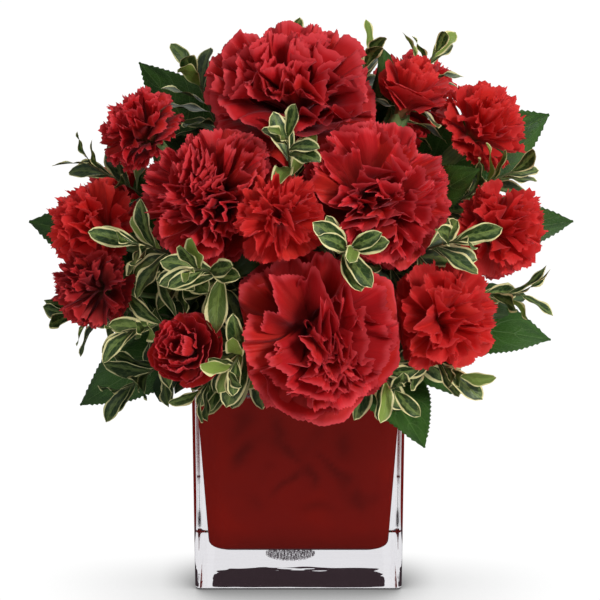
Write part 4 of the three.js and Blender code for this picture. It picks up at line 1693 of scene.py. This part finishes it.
def head_cuts(head: Head, runs: list[Run]) -> list[tuple[Array, float]]:
    """Finds the half-spaces that keep a head clear of its neighbours and of the stems beside it.

    Args:
        head: The head.
        runs: The runs of all stems.

    Returns:
        A normal and an offset for each half-space.
    """
    cuts = []
    for other in HEADS:
        apart = float(np.linalg.norm(other.middle - head.middle))
        if other is head or apart > head.radius + other.radius:
            continue
        normal = (other.middle - head.middle) / apart
        share = (apart**2 + head.radius**2 - other.radius**2) / (2 * apart)
        cuts.append((normal, float(head.middle @ normal) + share - GAP))
    for run in runs:
        spots = run.spots(41)
        gaps = np.linalg.norm(spots - head.middle, axis=1)
        apart = float(gaps.min())
        if run.head == head.name or apart > head.radius + run.radius + 0.001:
            continue
        nearest = spots[gaps.argmin()]
        normal = (nearest - head.middle) / apart
        cuts.append((normal, float(nearest @ normal) - run.radius - 3 * GAP))
    return cuts


@dataclass(frozen=True)
class FlowerStem:
    """A stem with a calyx for each head that it carries."""

    name: str
    rim: tuple[float, float]
    foot: float
    heads: tuple[str, ...]
    joints: float = 0.055

    def runs(self) -> list[Run]:
        """Returns the runs of the stem.

        Returns:
            The runs, each with the head that it ends at.
        """
        ends = []
        for name in self.heads:
            head = HEAD_NAMED[name]
            ends.append((head.base + head.facing * head.calyx.length * 0.15, head.facing, name))
        return route(self.rim, self.foot, ends, SPRAY_STEM if len(self.heads) > 1 else STANDARD_STEM)

    def add_calyx(self, draft: Draft, head: Head) -> None:
        """Adds a calyx with five teeth at its mouth and bracts at its foot.

        Args:
            draft: The mesh in the making.
            head: The head that the calyx holds.
        """
        size = head.calyx
        sides, teeth = 40, 5
        across = unit(np.cross(head.facing, [0.3, 0.2, 1.0]))
        upward = np.cross(head.facing, across)
        angles = np.linspace(0, 2 * np.pi, sides, endpoint=False)
        spokes = np.outer(np.cos(angles), across) + np.outer(np.sin(angles), upward)
        point = 1 - 2 * np.abs((angles * teeth / (2 * np.pi)) % 1 - 0.5)
        heights = np.array([0.0, 0.03, 0.12, 0.25, 0.4, 0.58, 0.76, 0.9, 1.0])
        radii = np.interp(heights, [0, 0.12, 0.4, 1], [size.foot, size.foot * 1.35, size.belly, size.mouth])
        rows = [head.base + head.facing * size.length * h + spokes * r for h, r in zip(heights, radii)]
        for share in (0.5, 1.0):
            rise = size.length * (1 + 0.16 * share * point)
            flare = size.mouth * (1.0 + 0.10 * share)
            rows.append(head.base + head.facing * rise[:, None] + spokes * flare)
        grid = np.array(rows)
        draft.add_grid(grid, 0.9, closed=True)
        draft.add_cap(grid[0], 0.9, flip=True)
        for number in range(4):
            spin = number * math.pi / 2 + 0.4
            radial = across * math.cos(spin) + upward * math.sin(spin)
            root = head.base + radial * size.foot * 0.9 - head.facing * size.length * 0.04
            tip = head.base + radial * size.belly * 1.06 + head.facing * size.length * 0.36
            blade = Blade(root, tip, radial, size.belly * 0.75)
            draft.add_grid(blade.points(7, 5), 0.7)

    def build(self, material: bpy.types.Material) -> bpy.types.Object:
        """Builds the stem and its calyxes.

        Args:
            material: The green material.

        Returns:
            The piece.
        """
        draft = Draft()
        for run in self.runs():
            spots = run.spots(56)
            at = np.linspace(0, run.length(), 56)
            swell = np.exp(-(((at + 0.02) % self.joints - self.joints / 2) / 0.0016) ** 2)
            draft.add_solid(tube_rings(spots, run.radius * (1 + 0.45 * swell), 12), 0.3, 0.3)
        for name in self.heads:
            self.add_calyx(draft, HEAD_NAMED[name])
        return dress(draft.build(self.name + "_green"), material, Slot.STEMS, self.name)


FLOWER_STEMS = [
    FlowerStem("stem_top", (-100, 0.006), 0.005, ("carnation_top",)),
    FlowerStem("stem_left", (-128, 0.027), 0.020, ("carnation_left",)),
    FlowerStem("stem_right", (-58, 0.028), 0.020, ("carnation_right",)),
    FlowerStem("stem_front", (-84, 0.042), 0.034, ("carnation_front",)),
    FlowerStem("stem_back_left", (118, 0.028), 0.020, ("carnation_back_left",)),
    FlowerStem("stem_back_right", (62, 0.036), 0.026, ("carnation_back_right",)),
    FlowerStem(
        "spray_stem_left",
        (-158, 0.038),
        0.028,
        ("spray_carnation_upper_left", "spray_carnation_left", "spray_carnation_lower_left"),
    ),
    FlowerStem("spray_stem_front", (-106, 0.034), 0.027, ("spray_carnation_middle", "spray_carnation_cup")),
    FlowerStem(
        "spray_stem_upper_right",
        (0, 0.024),
        0.016,
        ("spray_carnation_half_open", "spray_carnation_upper_right"),
    ),
    FlowerStem(
        "spray_stem_right",
        (-34, 0.040),
        0.030,
        ("spray_carnation_right", "spray_carnation_lower_right"),
    ),
    FlowerStem(
        "spray_stem_back_left",
        (134, 0.040),
        0.031,
        ("spray_carnation_back_low_left", "spray_carnation_back_low"),
    ),
    FlowerStem(
        "spray_stem_back_right",
        (34, 0.030),
        0.024,
        ("spray_carnation_back_top", "spray_carnation_back_low_right"),
    ),
]


# Foliage


@dataclass(frozen=True)
class Blade:
    """A leaf blade from its root to its tip, folded along the midrib, with a waved edge."""

    root: Array
    tip: Array
    normal: Array
    width: float
    fold: float = 0.18
    arch: float = 0.06
    wave: float = 0.0
    ripples: float = 2.0
    phase: float = 0.0
    tooth: float = 0.0
    droop: float = 0.0
    sway: float = 0.0
    foot_power: float = 0.5
    tip_power: float = 0.5

    def points(self, rows: int, columns: int) -> Array:
        """Makes the blade's grid.

        Args:
            rows: Rows along the leaf.
            columns: Columns across it.

        Returns:
            Rows by columns of points.
        """
        length = float(np.linalg.norm(self.tip - self.root))
        along = unit(self.tip - self.root)
        side = unit(np.cross(self.normal, along))
        up = np.cross(along, side)
        s = np.linspace(0, 1, rows)[:, None]
        u = np.linspace(-1, 1, columns)[None, :]
        foot, end = self.foot_power, self.tip_power
        peak = (foot / (foot + end)) ** foot * (end / (foot + end)) ** end
        outline = np.maximum(s, 1e-6) ** foot * np.maximum(1 - s, 1e-6) ** end / peak
        half = self.width / 2 * np.maximum(outline, 0.03)
        zigzag = np.where(np.arange(rows) % 2, 1.0, -1.0)[:, None] * (np.abs(u) > 0.99)
        offset = u * (half + self.tooth * zigzag * (outline > 0.15)) + self.sway * length * s**2
        ripple = np.sin(2 * np.pi * self.ripples * s + self.phase + 1.7 * np.sign(u))
        lift = self.fold * np.abs(u) ** 1.4 * half + self.wave * np.abs(u) ** 2 * ripple * outline
        lift = lift + self.arch * length * np.sin(np.pi * s) - self.droop * length * s**2.5
        ahead = s * length
        return self.root + ahead[..., None] * along + offset[..., None] * side + lift[..., None] * up

    def crossings(self, clear: Clearance, rows: int, columns: int) -> int:
        """Counts the faces that a coarse copy of the blade would cross, apart from its foot."""
        return clear.crossings(self.points(rows, columns)[1:], grid_faces(rows - 1, columns))

    def keep(self, clear: Clearance, rows: int, columns: int) -> None:
        """Keeps later pieces clear of a coarse copy of the blade."""
        clear.add(self.points(rows, columns), grid_faces(rows, columns))


def stance(axis: Array, turn: float, tilt: float) -> tuple[Array, Array]:
    """Finds how a leaf stands on a twig.

    Args:
        axis: The direction of the twig.
        turn: The leaf's turn round the twig, in degrees.
        tilt: Its tilt away from the twig, in degrees.

    Returns:
        The direction of the leaf and the normal of its upper side.
    """
    outward = unit(np.cross(axis, [0.2, 0.4, 1.0]))
    across = np.cross(axis, turned(outward, axis, math.radians(turn)))
    along = turned(axis, across, math.radians(tilt))
    return along, turned(along, across, -math.pi / 2)


@dataclass(frozen=True)
class Sprig:
    """A twig with whorls of small waved leaves, cream at the edge."""

    name: str
    rim: tuple[float, float]
    foot: float
    tips: tuple[Place, ...]
    number: int
    leaf_length: float = 0.0245
    leaf_width: float = 0.0098
    spacing: float = 0.0037
    count: int = 26
    sunk: float = 0.0006
    rows: int = 15
    columns: int = 7
    coarse: tuple[int, int] = (5, 3)

    def runs(self) -> list[Run]:
        """Returns the runs of the twig."""
        ends = [(place(tip), direction(tip[0], tip[1]), "") for tip in self.tips]
        return route(self.rim, self.foot, ends, TWIG)

    def leaf(
        self, run: Run, index: int, turn: float, clear: Clearance, rng: np.random.Generator
    ) -> Array | None:
        """Finds a place for one leaf, with its size, turn and tilt tried until it is clear.

        Args:
            run: The twig that it grows on.
            index: Its place along the twig, from the tip.
            turn: Its first turn round the twig, in degrees.
            clear: What it keeps clear of.
            rng: The sprig's random numbers.

        Returns:
            The grid of the leaf, or None where no try is clear.
        """
        back = self.sunk + index * self.spacing
        if back > run.length() - 0.012:
            return None
        root, axis = run.at_back(back)
        first_tilt = 26 + 5.5 * index if index < 8 else min(70 + 3 * (index - 8), 94)
        size = (0.72 if index == 0 else min(1.2, 0.80 + 0.04 * index)) * rng.uniform(0.85, 1.18)
        phase, wave = rng.uniform(0, 6.28), rng.uniform(0.0006, 0.0017)
        droop, arch, sway = rng.uniform(-0.06, 0.22), rng.uniform(0.0, 0.09), rng.uniform(-0.12, 0.12)
        shifts = (0, 25, -25, 50, -50, 75, -75)
        for scale, shift, lean in product((1.0, 0.85, 0.7), shifts, (0, -14, 12)):
            along, normal = stance(axis, turn + shift, first_tilt + lean)
            length = self.leaf_length * size * scale
            blade = Blade(
                root,
                root + along * length,
                normal,
                self.leaf_width * size * scale,
                fold=0.22,
                arch=arch,
                wave=wave,
                ripples=1.8,
                phase=phase,
                droop=droop,
                sway=sway,
                foot_power=1.0,
                tip_power=0.62,
            )
            if blade.crossings(clear, *self.coarse) == 0:
                blade.keep(clear, *self.coarse)
                return blade.points(self.rows, self.columns)
        return None

    def build(
        self, clear: Clearance, leaf: bpy.types.Material, twig: bpy.types.Material
    ) -> list[bpy.types.Object]:
        """Builds the twigs and the leaves.

        Args:
            clear: What the leaves keep clear of.
            leaf: The leaves' material.
            twig: The twigs' material.

        Returns:
            The pieces.
        """
        rng = np.random.default_rng(SPRIG_SEED + self.number)
        leaves, twigs = Draft(), Draft()
        for tip, run in enumerate(self.runs()):
            radii = run.radius * np.linspace(1.0, 0.45, 48)
            twigs.add_solid(tube_rings(run.spots(48), radii, 8), 0.4, 0.4)
            for index in range(self.count):
                turn = LEAF_TURN * (index // 2) + 60 * self.number + 90 * tip + (155 if index % 2 else 0)
                points = self.leaf(run, index, turn, clear, rng)
                if points is not None:
                    # Painted shade: leaves deep on the twig take a low tone, which darkens them.
                    shade = rng.uniform(0.25, 1.0) if index < 11 else rng.uniform(0.02, 0.45)
                    leaves.add_grid(points, shade)
        return [
            dress(leaves.build(self.name + "_leaves"), leaf, Slot.SPRIGS, self.name),
            dress(twigs.build(self.name + "_twigs"), twig, Slot.STEMS, self.name),
        ]


# A shaded copy of the sprig leaves: painted shade, with thinner cream edges, for the sprigs at the left.
SHADED_SPRIG_LEAF = SprigLeafFinish(
    name="variegated_leaf_shaded",
    dark=(0.010, 0.034, 0.005, 1),
    grey=(0.090, 0.135, 0.034, 1),
    cream=(0.56, 0.55, 0.25, 1),
    fresh=(0.15, 0.23, 0.040, 1),
    margin=1.13,
)
SHADED_SPRIGS = ("sprig_low_left", "sprig_upper_left")
SPRIGS = [
    Sprig(name, rim, foot, tips, number)
    for number, (name, rim, foot, tips) in enumerate(
        [
            ("sprig_upper_left", (176, 0.030), 0.020, ((178, 64, 0.123), (-171, 32, 0.129))),
            ("sprig_centre", (-74, 0.033), 0.024, ((-77, 27, 0.129), (-67, -8, 0.122))),
            ("sprig_left", (-120, 0.042), 0.034, ((-115, 21, 0.128), (-136, 23, 0.126))),
            (
                "sprig_low_front",
                (-114, 0.051),
                0.037,
                ((-105, 0, 0.128), (-132, 3, 0.126), (-121, -17, 0.101)),
            ),
            ("sprig_upper_front", (-88, 0.016), 0.013, ((-94, 53, 0.128),)),
            ("sprig_top", (24, 0.010), 0.008, ((18, 72, 0.124), (14, 58, 0.138))),
            ("sprig_upper_right", (-14, 0.032), 0.022, ((-9, 30, 0.128),)),
            ("sprig_right", (-44, 0.033), 0.024, ((-46, 24, 0.126),)),
            ("sprig_low_right", (-42, 0.050), 0.037, ((-21, 3, 0.122), (-49, -8, 0.122))),
            ("sprig_low_left", (-146, 0.050), 0.036, ((-156, -1, 0.126), (-140, -16, 0.119))),
            ("sprig_back_top", (98, 0.018), 0.014, ((92, 54, 0.124),)),
            ("sprig_back_low", (84, 0.046), 0.035, ((82, -4, 0.124),)),
        ]
    )
]


@dataclass(frozen=True)
class LeafPlace:
    """Where a large leaf starts and ends, how wide it is, and its roll round the midrib in degrees."""

    root: Place
    tip: Place
    width: float
    roll: float = 0.0


@dataclass(frozen=True)
class InnerLeaf:
    """A dark leaf between the flowers: the run of the stalk it ends, its tip, its width and its roll."""

    run: int
    tip: Place
    width: float
    roll: float


@dataclass(frozen=True)
class LeafStalk:
    """A stalk with one or two large pointed leaves with a finely toothed edge."""

    name: str
    rim: tuple[float, float]
    foot: float
    leaves: tuple[LeafPlace, ...]
    number: int
    inner: tuple[InnerLeaf, ...] = ()
    rows: int = 61
    columns: int = 13
    coarse: tuple[int, int] = (9, 5)
    small_rows: int = 31
    small_columns: int = 9
    small_coarse: tuple[int, int] = (7, 3)
    sunk: float = 0.0015
    rise: float = 0.7
    side_leaves: int = 9
    side_spacing: float = 0.0065
    lowest: float = 0.120
    most_crossings: int = 7

    def runs(self) -> list[Run]:
        """Returns the runs of the stalk.

        Returns:
            The runs, one for each leaf.
        """
        ends = []
        for leaf in self.leaves:
            root = place(leaf.root)
            facing = unit(place(leaf.tip) - root) + np.array([0, 0, self.rise])
            ends.append((root, unit(facing), ""))
        return route(self.rim, self.foot, ends, LEAF_STALK)

    def blade(self, leaf: LeafPlace, root: Array, clear: Clearance, rng: np.random.Generator) -> Blade:
        """Finds the plane of one leaf, turned or moved until it is as clear as can be.

        Args:
            leaf: Where the leaf is.
            root: Where its blade starts.
            clear: What it keeps clear of.
            rng: The stalk's random numbers.

        Returns:
            The blade.
        """
        upper, tip = direction(leaf.tip[0], leaf.tip[1] + 80), place(leaf.tip)
        best: tuple[int, Blade | None] = (10**9, None)
        rolls = (0, 15, -15, 30, -30, 50, -50, 75, -75, 90)
        for roll, shift in product(rolls, (0, 0.005, -0.005, 0.010, -0.010)):
            normal = turned(upper, unit(tip - root), math.radians(leaf.roll + roll))
            blade = Blade(
                root,
                tip + normal * shift,
                normal,
                leaf.width,
                fold=0.2,
                arch=0.05,
                wave=0.0011,
                ripples=2.5,
                phase=rng.uniform(0, 6),
                tooth=0.0005,
                foot_power=0.6,
                tip_power=1.0,
            )
            crossed = blade.crossings(clear, *self.coarse)
            if crossed < best[0]:
                best = (crossed, blade)
            if crossed == 0:
                return blade
        return best[1]

    def inner_leaf(self, leaf: InnerLeaf, root: Array, clear: Clearance) -> Blade | None:
        """Finds the plane and length of a leaf between the flowers that touch as little as can be.

        Args:
            leaf: Where the leaf is.
            root: Where its blade starts.
            clear: What it keeps clear of.

        Returns:
            The blade, or None where every try goes too far into its neighbours.
        """
        upper = direction(leaf.tip[0], leaf.tip[1] + 80)
        best: tuple[int, Blade | None] = (self.most_crossings, None)
        for share, roll in product((1.0, 0.88, 0.76), (0, 20, -20, 40, -40)):
            tip = root + share * (place(leaf.tip) - root)
            normal = turned(upper, unit(tip - root), math.radians(leaf.roll + roll))
            blade = Blade(
                root,
                tip,
                normal,
                leaf.width,
                fold=0.2,
                arch=0.04,
                wave=0.0008,
                phase=leaf.roll,
                tooth=0.0004,
                droop=0.08,
            )
            crossed = blade.crossings(clear, *self.small_coarse)
            if crossed < best[0]:
                best = (crossed, blade)
        return best[1]

    def side_leaf(self, run: Run, index: int, clear: Clearance, rng: np.random.Generator) -> Blade | None:
        """Finds a clear place for a smaller leaf lower on the stalk.

        Args:
            run: The stalk.
            index: Its place along the stalk, from the top.
            clear: What it keeps clear of.
            rng: The stalk's random numbers.

        Returns:
            The blade, or None where no try is clear.
        """
        root, axis = run.at_back(0.006 + index * self.side_spacing)
        if root[2] < self.lowest:
            return None
        size, phase = rng.uniform(0.028, 0.042), rng.uniform(0, 6)
        turns = (0, 40, -40, 80, -80, 120)
        for scale, turn, tilt in product((1.0, 0.8, 0.62), turns, (72, 94, 50)):
            along, normal = stance(axis, LEAF_TURN * index + 50 * self.number + turn, tilt)
            length = size * scale
            blade = Blade(
                root,
                root + along * length,
                normal,
                0.48 * length,
                fold=0.2,
                arch=0.05,
                wave=0.0008,
                phase=phase,
                tooth=0.0004,
                droop=0.1,
                foot_power=0.6,
                tip_power=0.85,
            )
            if blade.crossings(clear, *self.small_coarse) == 0:
                blade.keep(clear, *self.small_coarse)
                return blade
        return None

    def build(
        self, clear: Clearance, leaf: bpy.types.Material, twig: bpy.types.Material
    ) -> list[bpy.types.Object]:
        """Builds the stalk and its leaves.

        Args:
            clear: What the leaves keep clear of.
            leaf: The leaves' material.
            twig: The stalks' material.

        Returns:
            The pieces.
        """
        rng = np.random.default_rng(STALK_SEED + self.number)
        blades, stalks = Draft(), Draft()
        runs = self.runs()
        for index, spec in enumerate(self.inner):
            root = runs[spec.run].at_back(0.002 + 0.004 * index)[0]
            filling = self.inner_leaf(spec, root, clear)
            if filling is not None:
                filling.keep(clear, *self.small_coarse)
                blades.add_grid(filling.points(self.small_rows, self.small_columns), 0.1 * index)
        for run, spec in zip(runs, self.leaves):
            stalks.add_solid(tube_rings(run.spots(40), np.full(40, run.radius), 8), 0.5, 0.5)
            blade = self.blade(spec, run.at_back(self.sunk)[0], clear, rng)
            blade.keep(clear, *self.coarse)
            blades.add_grid(blade.points(self.rows, self.columns), rng.uniform(0, 1))
            for index in range(self.side_leaves):
                small = self.side_leaf(run, index, clear, rng)
                if small is not None:
                    points = small.points(self.small_rows, self.small_columns)
                    blades.add_grid(points, rng.uniform(0, 1))
        return [
            dress(blades.build(self.name + "_blades"), leaf, Slot.LEAVES, self.name),
            dress(stalks.build(self.name + "_stalks"), twig, Slot.STEMS, self.name),
        ]


INNER_LEAVES = {
    "leaves_left": (
        InnerLeaf(0, (-171, 8, 0.100), 0.026, -55),
        InnerLeaf(1, (-173, 32, 0.100), 0.022, -50),
        InnerLeaf(1, (-168, 36, 0.106), 0.020, -60),
        InnerLeaf(1, (172, 43, 0.106), 0.024, -50),
    ),
    "leaf_low_left": (
        InnerLeaf(0, (-162, 12, 0.092), 0.028, -55),
        InnerLeaf(0, (-164, -2, 0.100), 0.028, -55),
        InnerLeaf(0, (-148, -5, 0.090), 0.026, -50),
        InnerLeaf(0, (-141, 5, 0.086), 0.026, -45),
        InnerLeaf(0, (-161, -18, 0.102), 0.028, -50),
        InnerLeaf(0, (-150, -30, 0.103), 0.024, -45),
    ),
    "leaf_low_right": (
        InnerLeaf(0, (-7, -1, 0.119), 0.028, 55),
        InnerLeaf(0, (-18, -2, 0.112), 0.028, 55),
        InnerLeaf(0, (-22, 4, 0.098), 0.026, 50),
        InnerLeaf(0, (-20, 12, 0.092), 0.026, 50),
        InnerLeaf(0, (-21, -28, 0.106), 0.024, 50),
    ),
    "leaf_top": (
        InnerLeaf(0, (22, 66, 0.128), 0.028, 85),
        InnerLeaf(0, (24, 56, 0.116), 0.026, 85),
    ),
    "leaf_back_low_left": (
        InnerLeaf(0, (104, -14, 0.090), 0.032, -60),
        InnerLeaf(0, (118, 2, 0.090), 0.030, -60),
        InnerLeaf(0, (162, -8, 0.094), 0.030, 60),
        InnerLeaf(0, (168, 12, 0.090), 0.028, 60),
    ),
    "leaf_back_low_right": (
        InnerLeaf(0, (80, -14, 0.090), 0.032, 60),
        InnerLeaf(0, (66, 2, 0.090), 0.030, 60),
        InnerLeaf(0, (18, -10, 0.094), 0.030, -60),
        InnerLeaf(0, (30, 14, 0.090), 0.028, -60),
    ),
}
LEAF_STALKS = [
    LeafStalk(
        name,
        rim,
        foot,
        tuple(LeafPlace(*leaf) for leaf in leaves),
        number,
        INNER_LEAVES.get(name, ()),
    )
    for number, (name, rim, foot, leaves) in enumerate(
        [
            (
                "leaves_left",
                (168, 0.036),
                0.026,
                [
                    ((170, 4, 0.066), (177, 11, 0.145), 0.048, -55),
                    ((164, 50, 0.074), (163, 50, 0.139), 0.044),
                ],
            ),
            ("leaf_low_left", (-168, 0.042), 0.033, [((-166, -30, 0.060), (-166, -25, 0.136), 0.044)]),
            (
                "leaves_right",
                (10, 0.036),
                0.026,
                [((0, 10, 0.072), (-2, 14, 0.148), 0.046), ((24, 32, 0.082), (13, 30, 0.158), 0.046)],
            ),
            ("leaf_low_right", (-14, 0.046), 0.036, [((-12, -22, 0.064), (-11, -11, 0.137), 0.044, 60)]),
            ("leaf_front", (-56, 0.055), 0.041, [((-56, -26, 0.066), (-58, -24, 0.130), 0.040)]),
            ("leaf_top", (-20, 0.012), 0.010, [((12, 64, 0.072), (17, 66, 0.132), 0.032, 90)]),
            ("leaf_middle_right", (-30, 0.026), 0.018, [((-26, 36, 0.084), (-36, 38, 0.130), 0.026)]),
            ("leaf_back_low_left", (148, 0.046), 0.036, [((140, -20, 0.066), (139, -14, 0.136), 0.046)]),
            ("leaf_back_low_right", (44, 0.046), 0.036, [((44, -20, 0.066), (42, -12, 0.136), 0.046)]),
            ("leaf_back_top", (78, 0.012), 0.009, [((96, 60, 0.074), (98, 58, 0.136), 0.036)]),
        ]
    )
]


# The studio


@dataclass(frozen=True)
class Studio:
    """A pale floor, a white backdrop, soft lights and the camera."""

    target: tuple[float, float, float] = (0.0008, 0.0, 0.144)
    elevation: float = 22.0
    distance: float = 1.3
    lens: float = 146.9
    shade_reach: float = 0.10
    shade_depth: float = 1.05
    contact_reach: float = 0.02
    contact_depth: float = 1.0
    seen_in_glass: float = 0.84
    glass_view: Colour = (0.98, 0.97, 1.0, 1)
    sky: float = 0.40

    def build_floor(self) -> None:
        """Builds a white floor with a soft shade close to the vase, which is dark to reflections."""
        draft = Draft()
        side = np.linspace(-3.0, 3.0, 25)
        x, y = np.meshgrid(side, side)
        draft.add_grid(np.stack([x, y, np.full_like(x, -0.0002)], -1), 0.5)
        floor = draft.build("studio_floor")
        material, shading, bsdf, output = new_material("white_floor")
        grain = shading.noise(shading.place(), 30.0, 2.0)
        colour = shading.mix(grain, (0.86, 0.86, 0.86, 1), (0.9, 0.9, 0.9, 1))
        shading.fill(bsdf, {"Base Color": colour, "Roughness": 0.9, "Specular IOR Level": 0.0})
        nearby = shading.add("ShaderNodeAmbientOcclusion", samples=16)
        nearby.inputs["Distance"].default_value = self.shade_reach
        close = shading.add("ShaderNodeAmbientOcclusion", samples=16)
        close.inputs["Distance"].default_value = self.contact_reach
        parts = shading.split(shading.place())
        front = shading.ramp(parts[1], -0.008, -0.056, 0.02, 1.0)
        shade = shading.math("SUBTRACT", 1.0, nearby.outputs["AO"])
        shade = shading.math("MULTIPLY", shade, shading.math("MULTIPLY", front, self.shade_depth))
        contact = shading.math("SUBTRACT", 1.0, close.outputs["AO"])
        contact = shading.math("MULTIPLY", contact, shading.math("MULTIPLY", front, self.contact_depth))
        lit = shading.math("SUBTRACT", 1.03, shade)
        lit = shading.math("MULTIPLY", lit, shading.math("SUBTRACT", 1.0, contact))
        white = shading.add("ShaderNodeEmission")
        shading.feed(white.inputs["Strength"], lit)
        through = shading.add("ShaderNodeEmission")
        shading.fill(through, {"Color": self.glass_view, "Strength": self.seen_in_glass})
        dark = shading.add("ShaderNodeBsdfDiffuse")
        dark.inputs["Color"].default_value = (0.02, 0.02, 0.022, 1)
        path = shading.add("ShaderNodeLightPath")
        first = shading.math("LESS_THAN", path.outputs["Ray Depth"], 1.5)
        mirrored = shading.math("MULTIPLY", path.outputs["Is Glossy Ray"], first)
        surface = shading.blend(mirrored, bsdf.outputs[0], dark.outputs[0])
        surface = shading.blend(path.outputs["Is Transmission Ray"], surface, through.outputs[0])
        surface = shading.blend(path.outputs["Is Camera Ray"], surface, white.outputs[0])
        shading.feed(output.inputs["Surface"], surface)
        floor.data.materials.append(material)

    def build_world(self) -> None:
        """Builds a white backdrop that lights the bouquet more softly than it looks."""
        world = bpy.data.worlds.new("white_backdrop")
        world.use_nodes = True
        shading = Shading(world.node_tree)
        world.node_tree.nodes.clear()
        output = shading.add("ShaderNodeOutputWorld")
        seen, through, cast = (shading.add("ShaderNodeBackground") for _ in range(3))
        shading.fill(seen, {"Color": (1, 1, 1, 1), "Strength": 1.05})
        shading.fill(through, {"Color": self.glass_view, "Strength": self.seen_in_glass})
        way = shading.split(shading.add("ShaderNodeTexCoord").outputs["Generated"])
        height = shading.ramp(way[2], -0.2, 0.9)
        colour = shading.mix(height, (0.45, 0.45, 0.47, 1), (1, 1, 1, 1))
        shading.fill(cast, {"Color": colour, "Strength": self.sky})
        path = shading.add("ShaderNodeLightPath")
        surface = shading.blend(path.outputs["Is Transmission Ray"], cast.outputs[0], through.outputs[0])
        surface = shading.blend(path.outputs["Is Camera Ray"], surface, seen.outputs[0])
        shading.feed(output.inputs[0], surface)
        bpy.context.scene.world = world

    def build_light(self, name: str, at: tuple[float, float, float], size: float, power: float) -> None:
        """Builds a soft square light that faces the bouquet.

        Args:
            name: Its name.
            at: Where it stands.
            size: The length of its side.
            power: Its power in watts.
        """
        data = bpy.data.lights.new(name, "AREA")
        data.shape = "SQUARE"
        data.size = size
        data.energy = power
        light = bpy.data.objects.new(name, data)
        light.visible_camera = False
        light.visible_transmission = False
        light.location = at
        light.rotation_mode = "QUATERNION"
        light.rotation_quaternion = (Vector((0, 0, 0.15)) - Vector(at)).to_track_quat("-Z", "Y")
        bpy.context.scene.collection.objects.link(light)

    def build_camera(self) -> None:
        """Builds the camera at the photograph's viewing angle."""
        data = bpy.data.cameras.new("camera")
        data.lens = self.lens
        data.sensor_width = 36.0
        data.clip_start = 0.05
        data.clip_end = 50.0
        camera = bpy.data.objects.new("camera", data)
        turn = math.radians(self.elevation)
        back = Vector((0, -math.cos(turn), math.sin(turn)))
        camera.location = Vector(self.target) + back * self.distance
        camera.rotation_mode = "QUATERNION"
        camera.rotation_quaternion = (-back).to_track_quat("-Z", "Y")
        bpy.context.scene.collection.objects.link(camera)
        bpy.context.scene.camera = camera

    def build(self) -> None:
        """Builds the floor, the backdrop, the lights and the camera."""
        bpy.context.scene.view_settings.view_transform = "Standard"
        self.build_floor()
        self.build_world()
        self.build_light("key_light", (0.9, -1.1, 1.05), 0.5, 19.5)
        self.build_light("fill_light", (-1.1, -1.1, 0.8), 0.9, 2.8)
        self.build_light("back_light", (0.2, 1.2, 1.2), 1.0, 7.0)
        self.build_camera()


def report(pieces: list[bpy.types.Object]) -> int:
    """Reports each piece with its number of triangles, and returns their sum.

    Args:
        pieces: The pieces.

    Returns:
        The number of triangles of all of them.
    """
    total = 0
    for piece in pieces:
        sizes = sum(len(face.vertices) - 2 for face in piece.data.polygons)
        total += sizes
        LOG.info("%s: %d triangles", piece.name, sizes)
    return total


def main() -> None:
    """Builds the studio and the bouquet, and reports each piece."""
    logging.basicConfig(level=logging.INFO, format="%(message)s")
    Studio().build()
    flower_runs = [run for stem in FLOWER_STEMS for run in stem.runs()]
    other_runs = [run for group in (SPRIGS, LEAF_STALKS) for stem in group for run in stem.runs()]
    runs = flower_runs + other_runs
    pieces = Vase().build()

    crimson, scarlet, deep = PetalFinish().build(), SCARLET_LIT_PETAL.build(), SHADED_PETAL.build()
    green = StemFinish("green_stem", (0.10, 0.17, 0.06, 1), (0.22, 0.33, 0.11, 1)).build()
    twig = StemFinish("green_twig", (0.05, 0.07, 0.025, 1), (0.15, 0.17, 0.07, 1), 0.6).build()
    # Lit and shaded copies of the petals paint light and shade on chosen heads.
    reds = dict.fromkeys(SCARLET_LIT_HEADS, scarlet) | dict.fromkeys(SHADED_HEADS, deep)
    pieces += [head.build(head_cuts(head, runs), reds.get(head.name, crimson)) for head in HEADS]
    pieces += [stem.build(green) for stem in FLOWER_STEMS]
    clear = Clearance()
    for piece in pieces:
        clear.add_object(piece)
    large, small, shaded = LargeLeafFinish().build(), SprigLeafFinish().build(), SHADED_SPRIG_LEAF.build()
    for stalk in LEAF_STALKS:
        pieces += stalk.build(clear, large, twig)
    for sprig in SPRIGS:
        leaf = shaded if sprig.name in SHADED_SPRIGS else small
        pieces += sprig.build(clear, leaf, twig)
    LOG.info("triangles in all: %d", report(pieces))


if __name__ == "__main__":
    main()
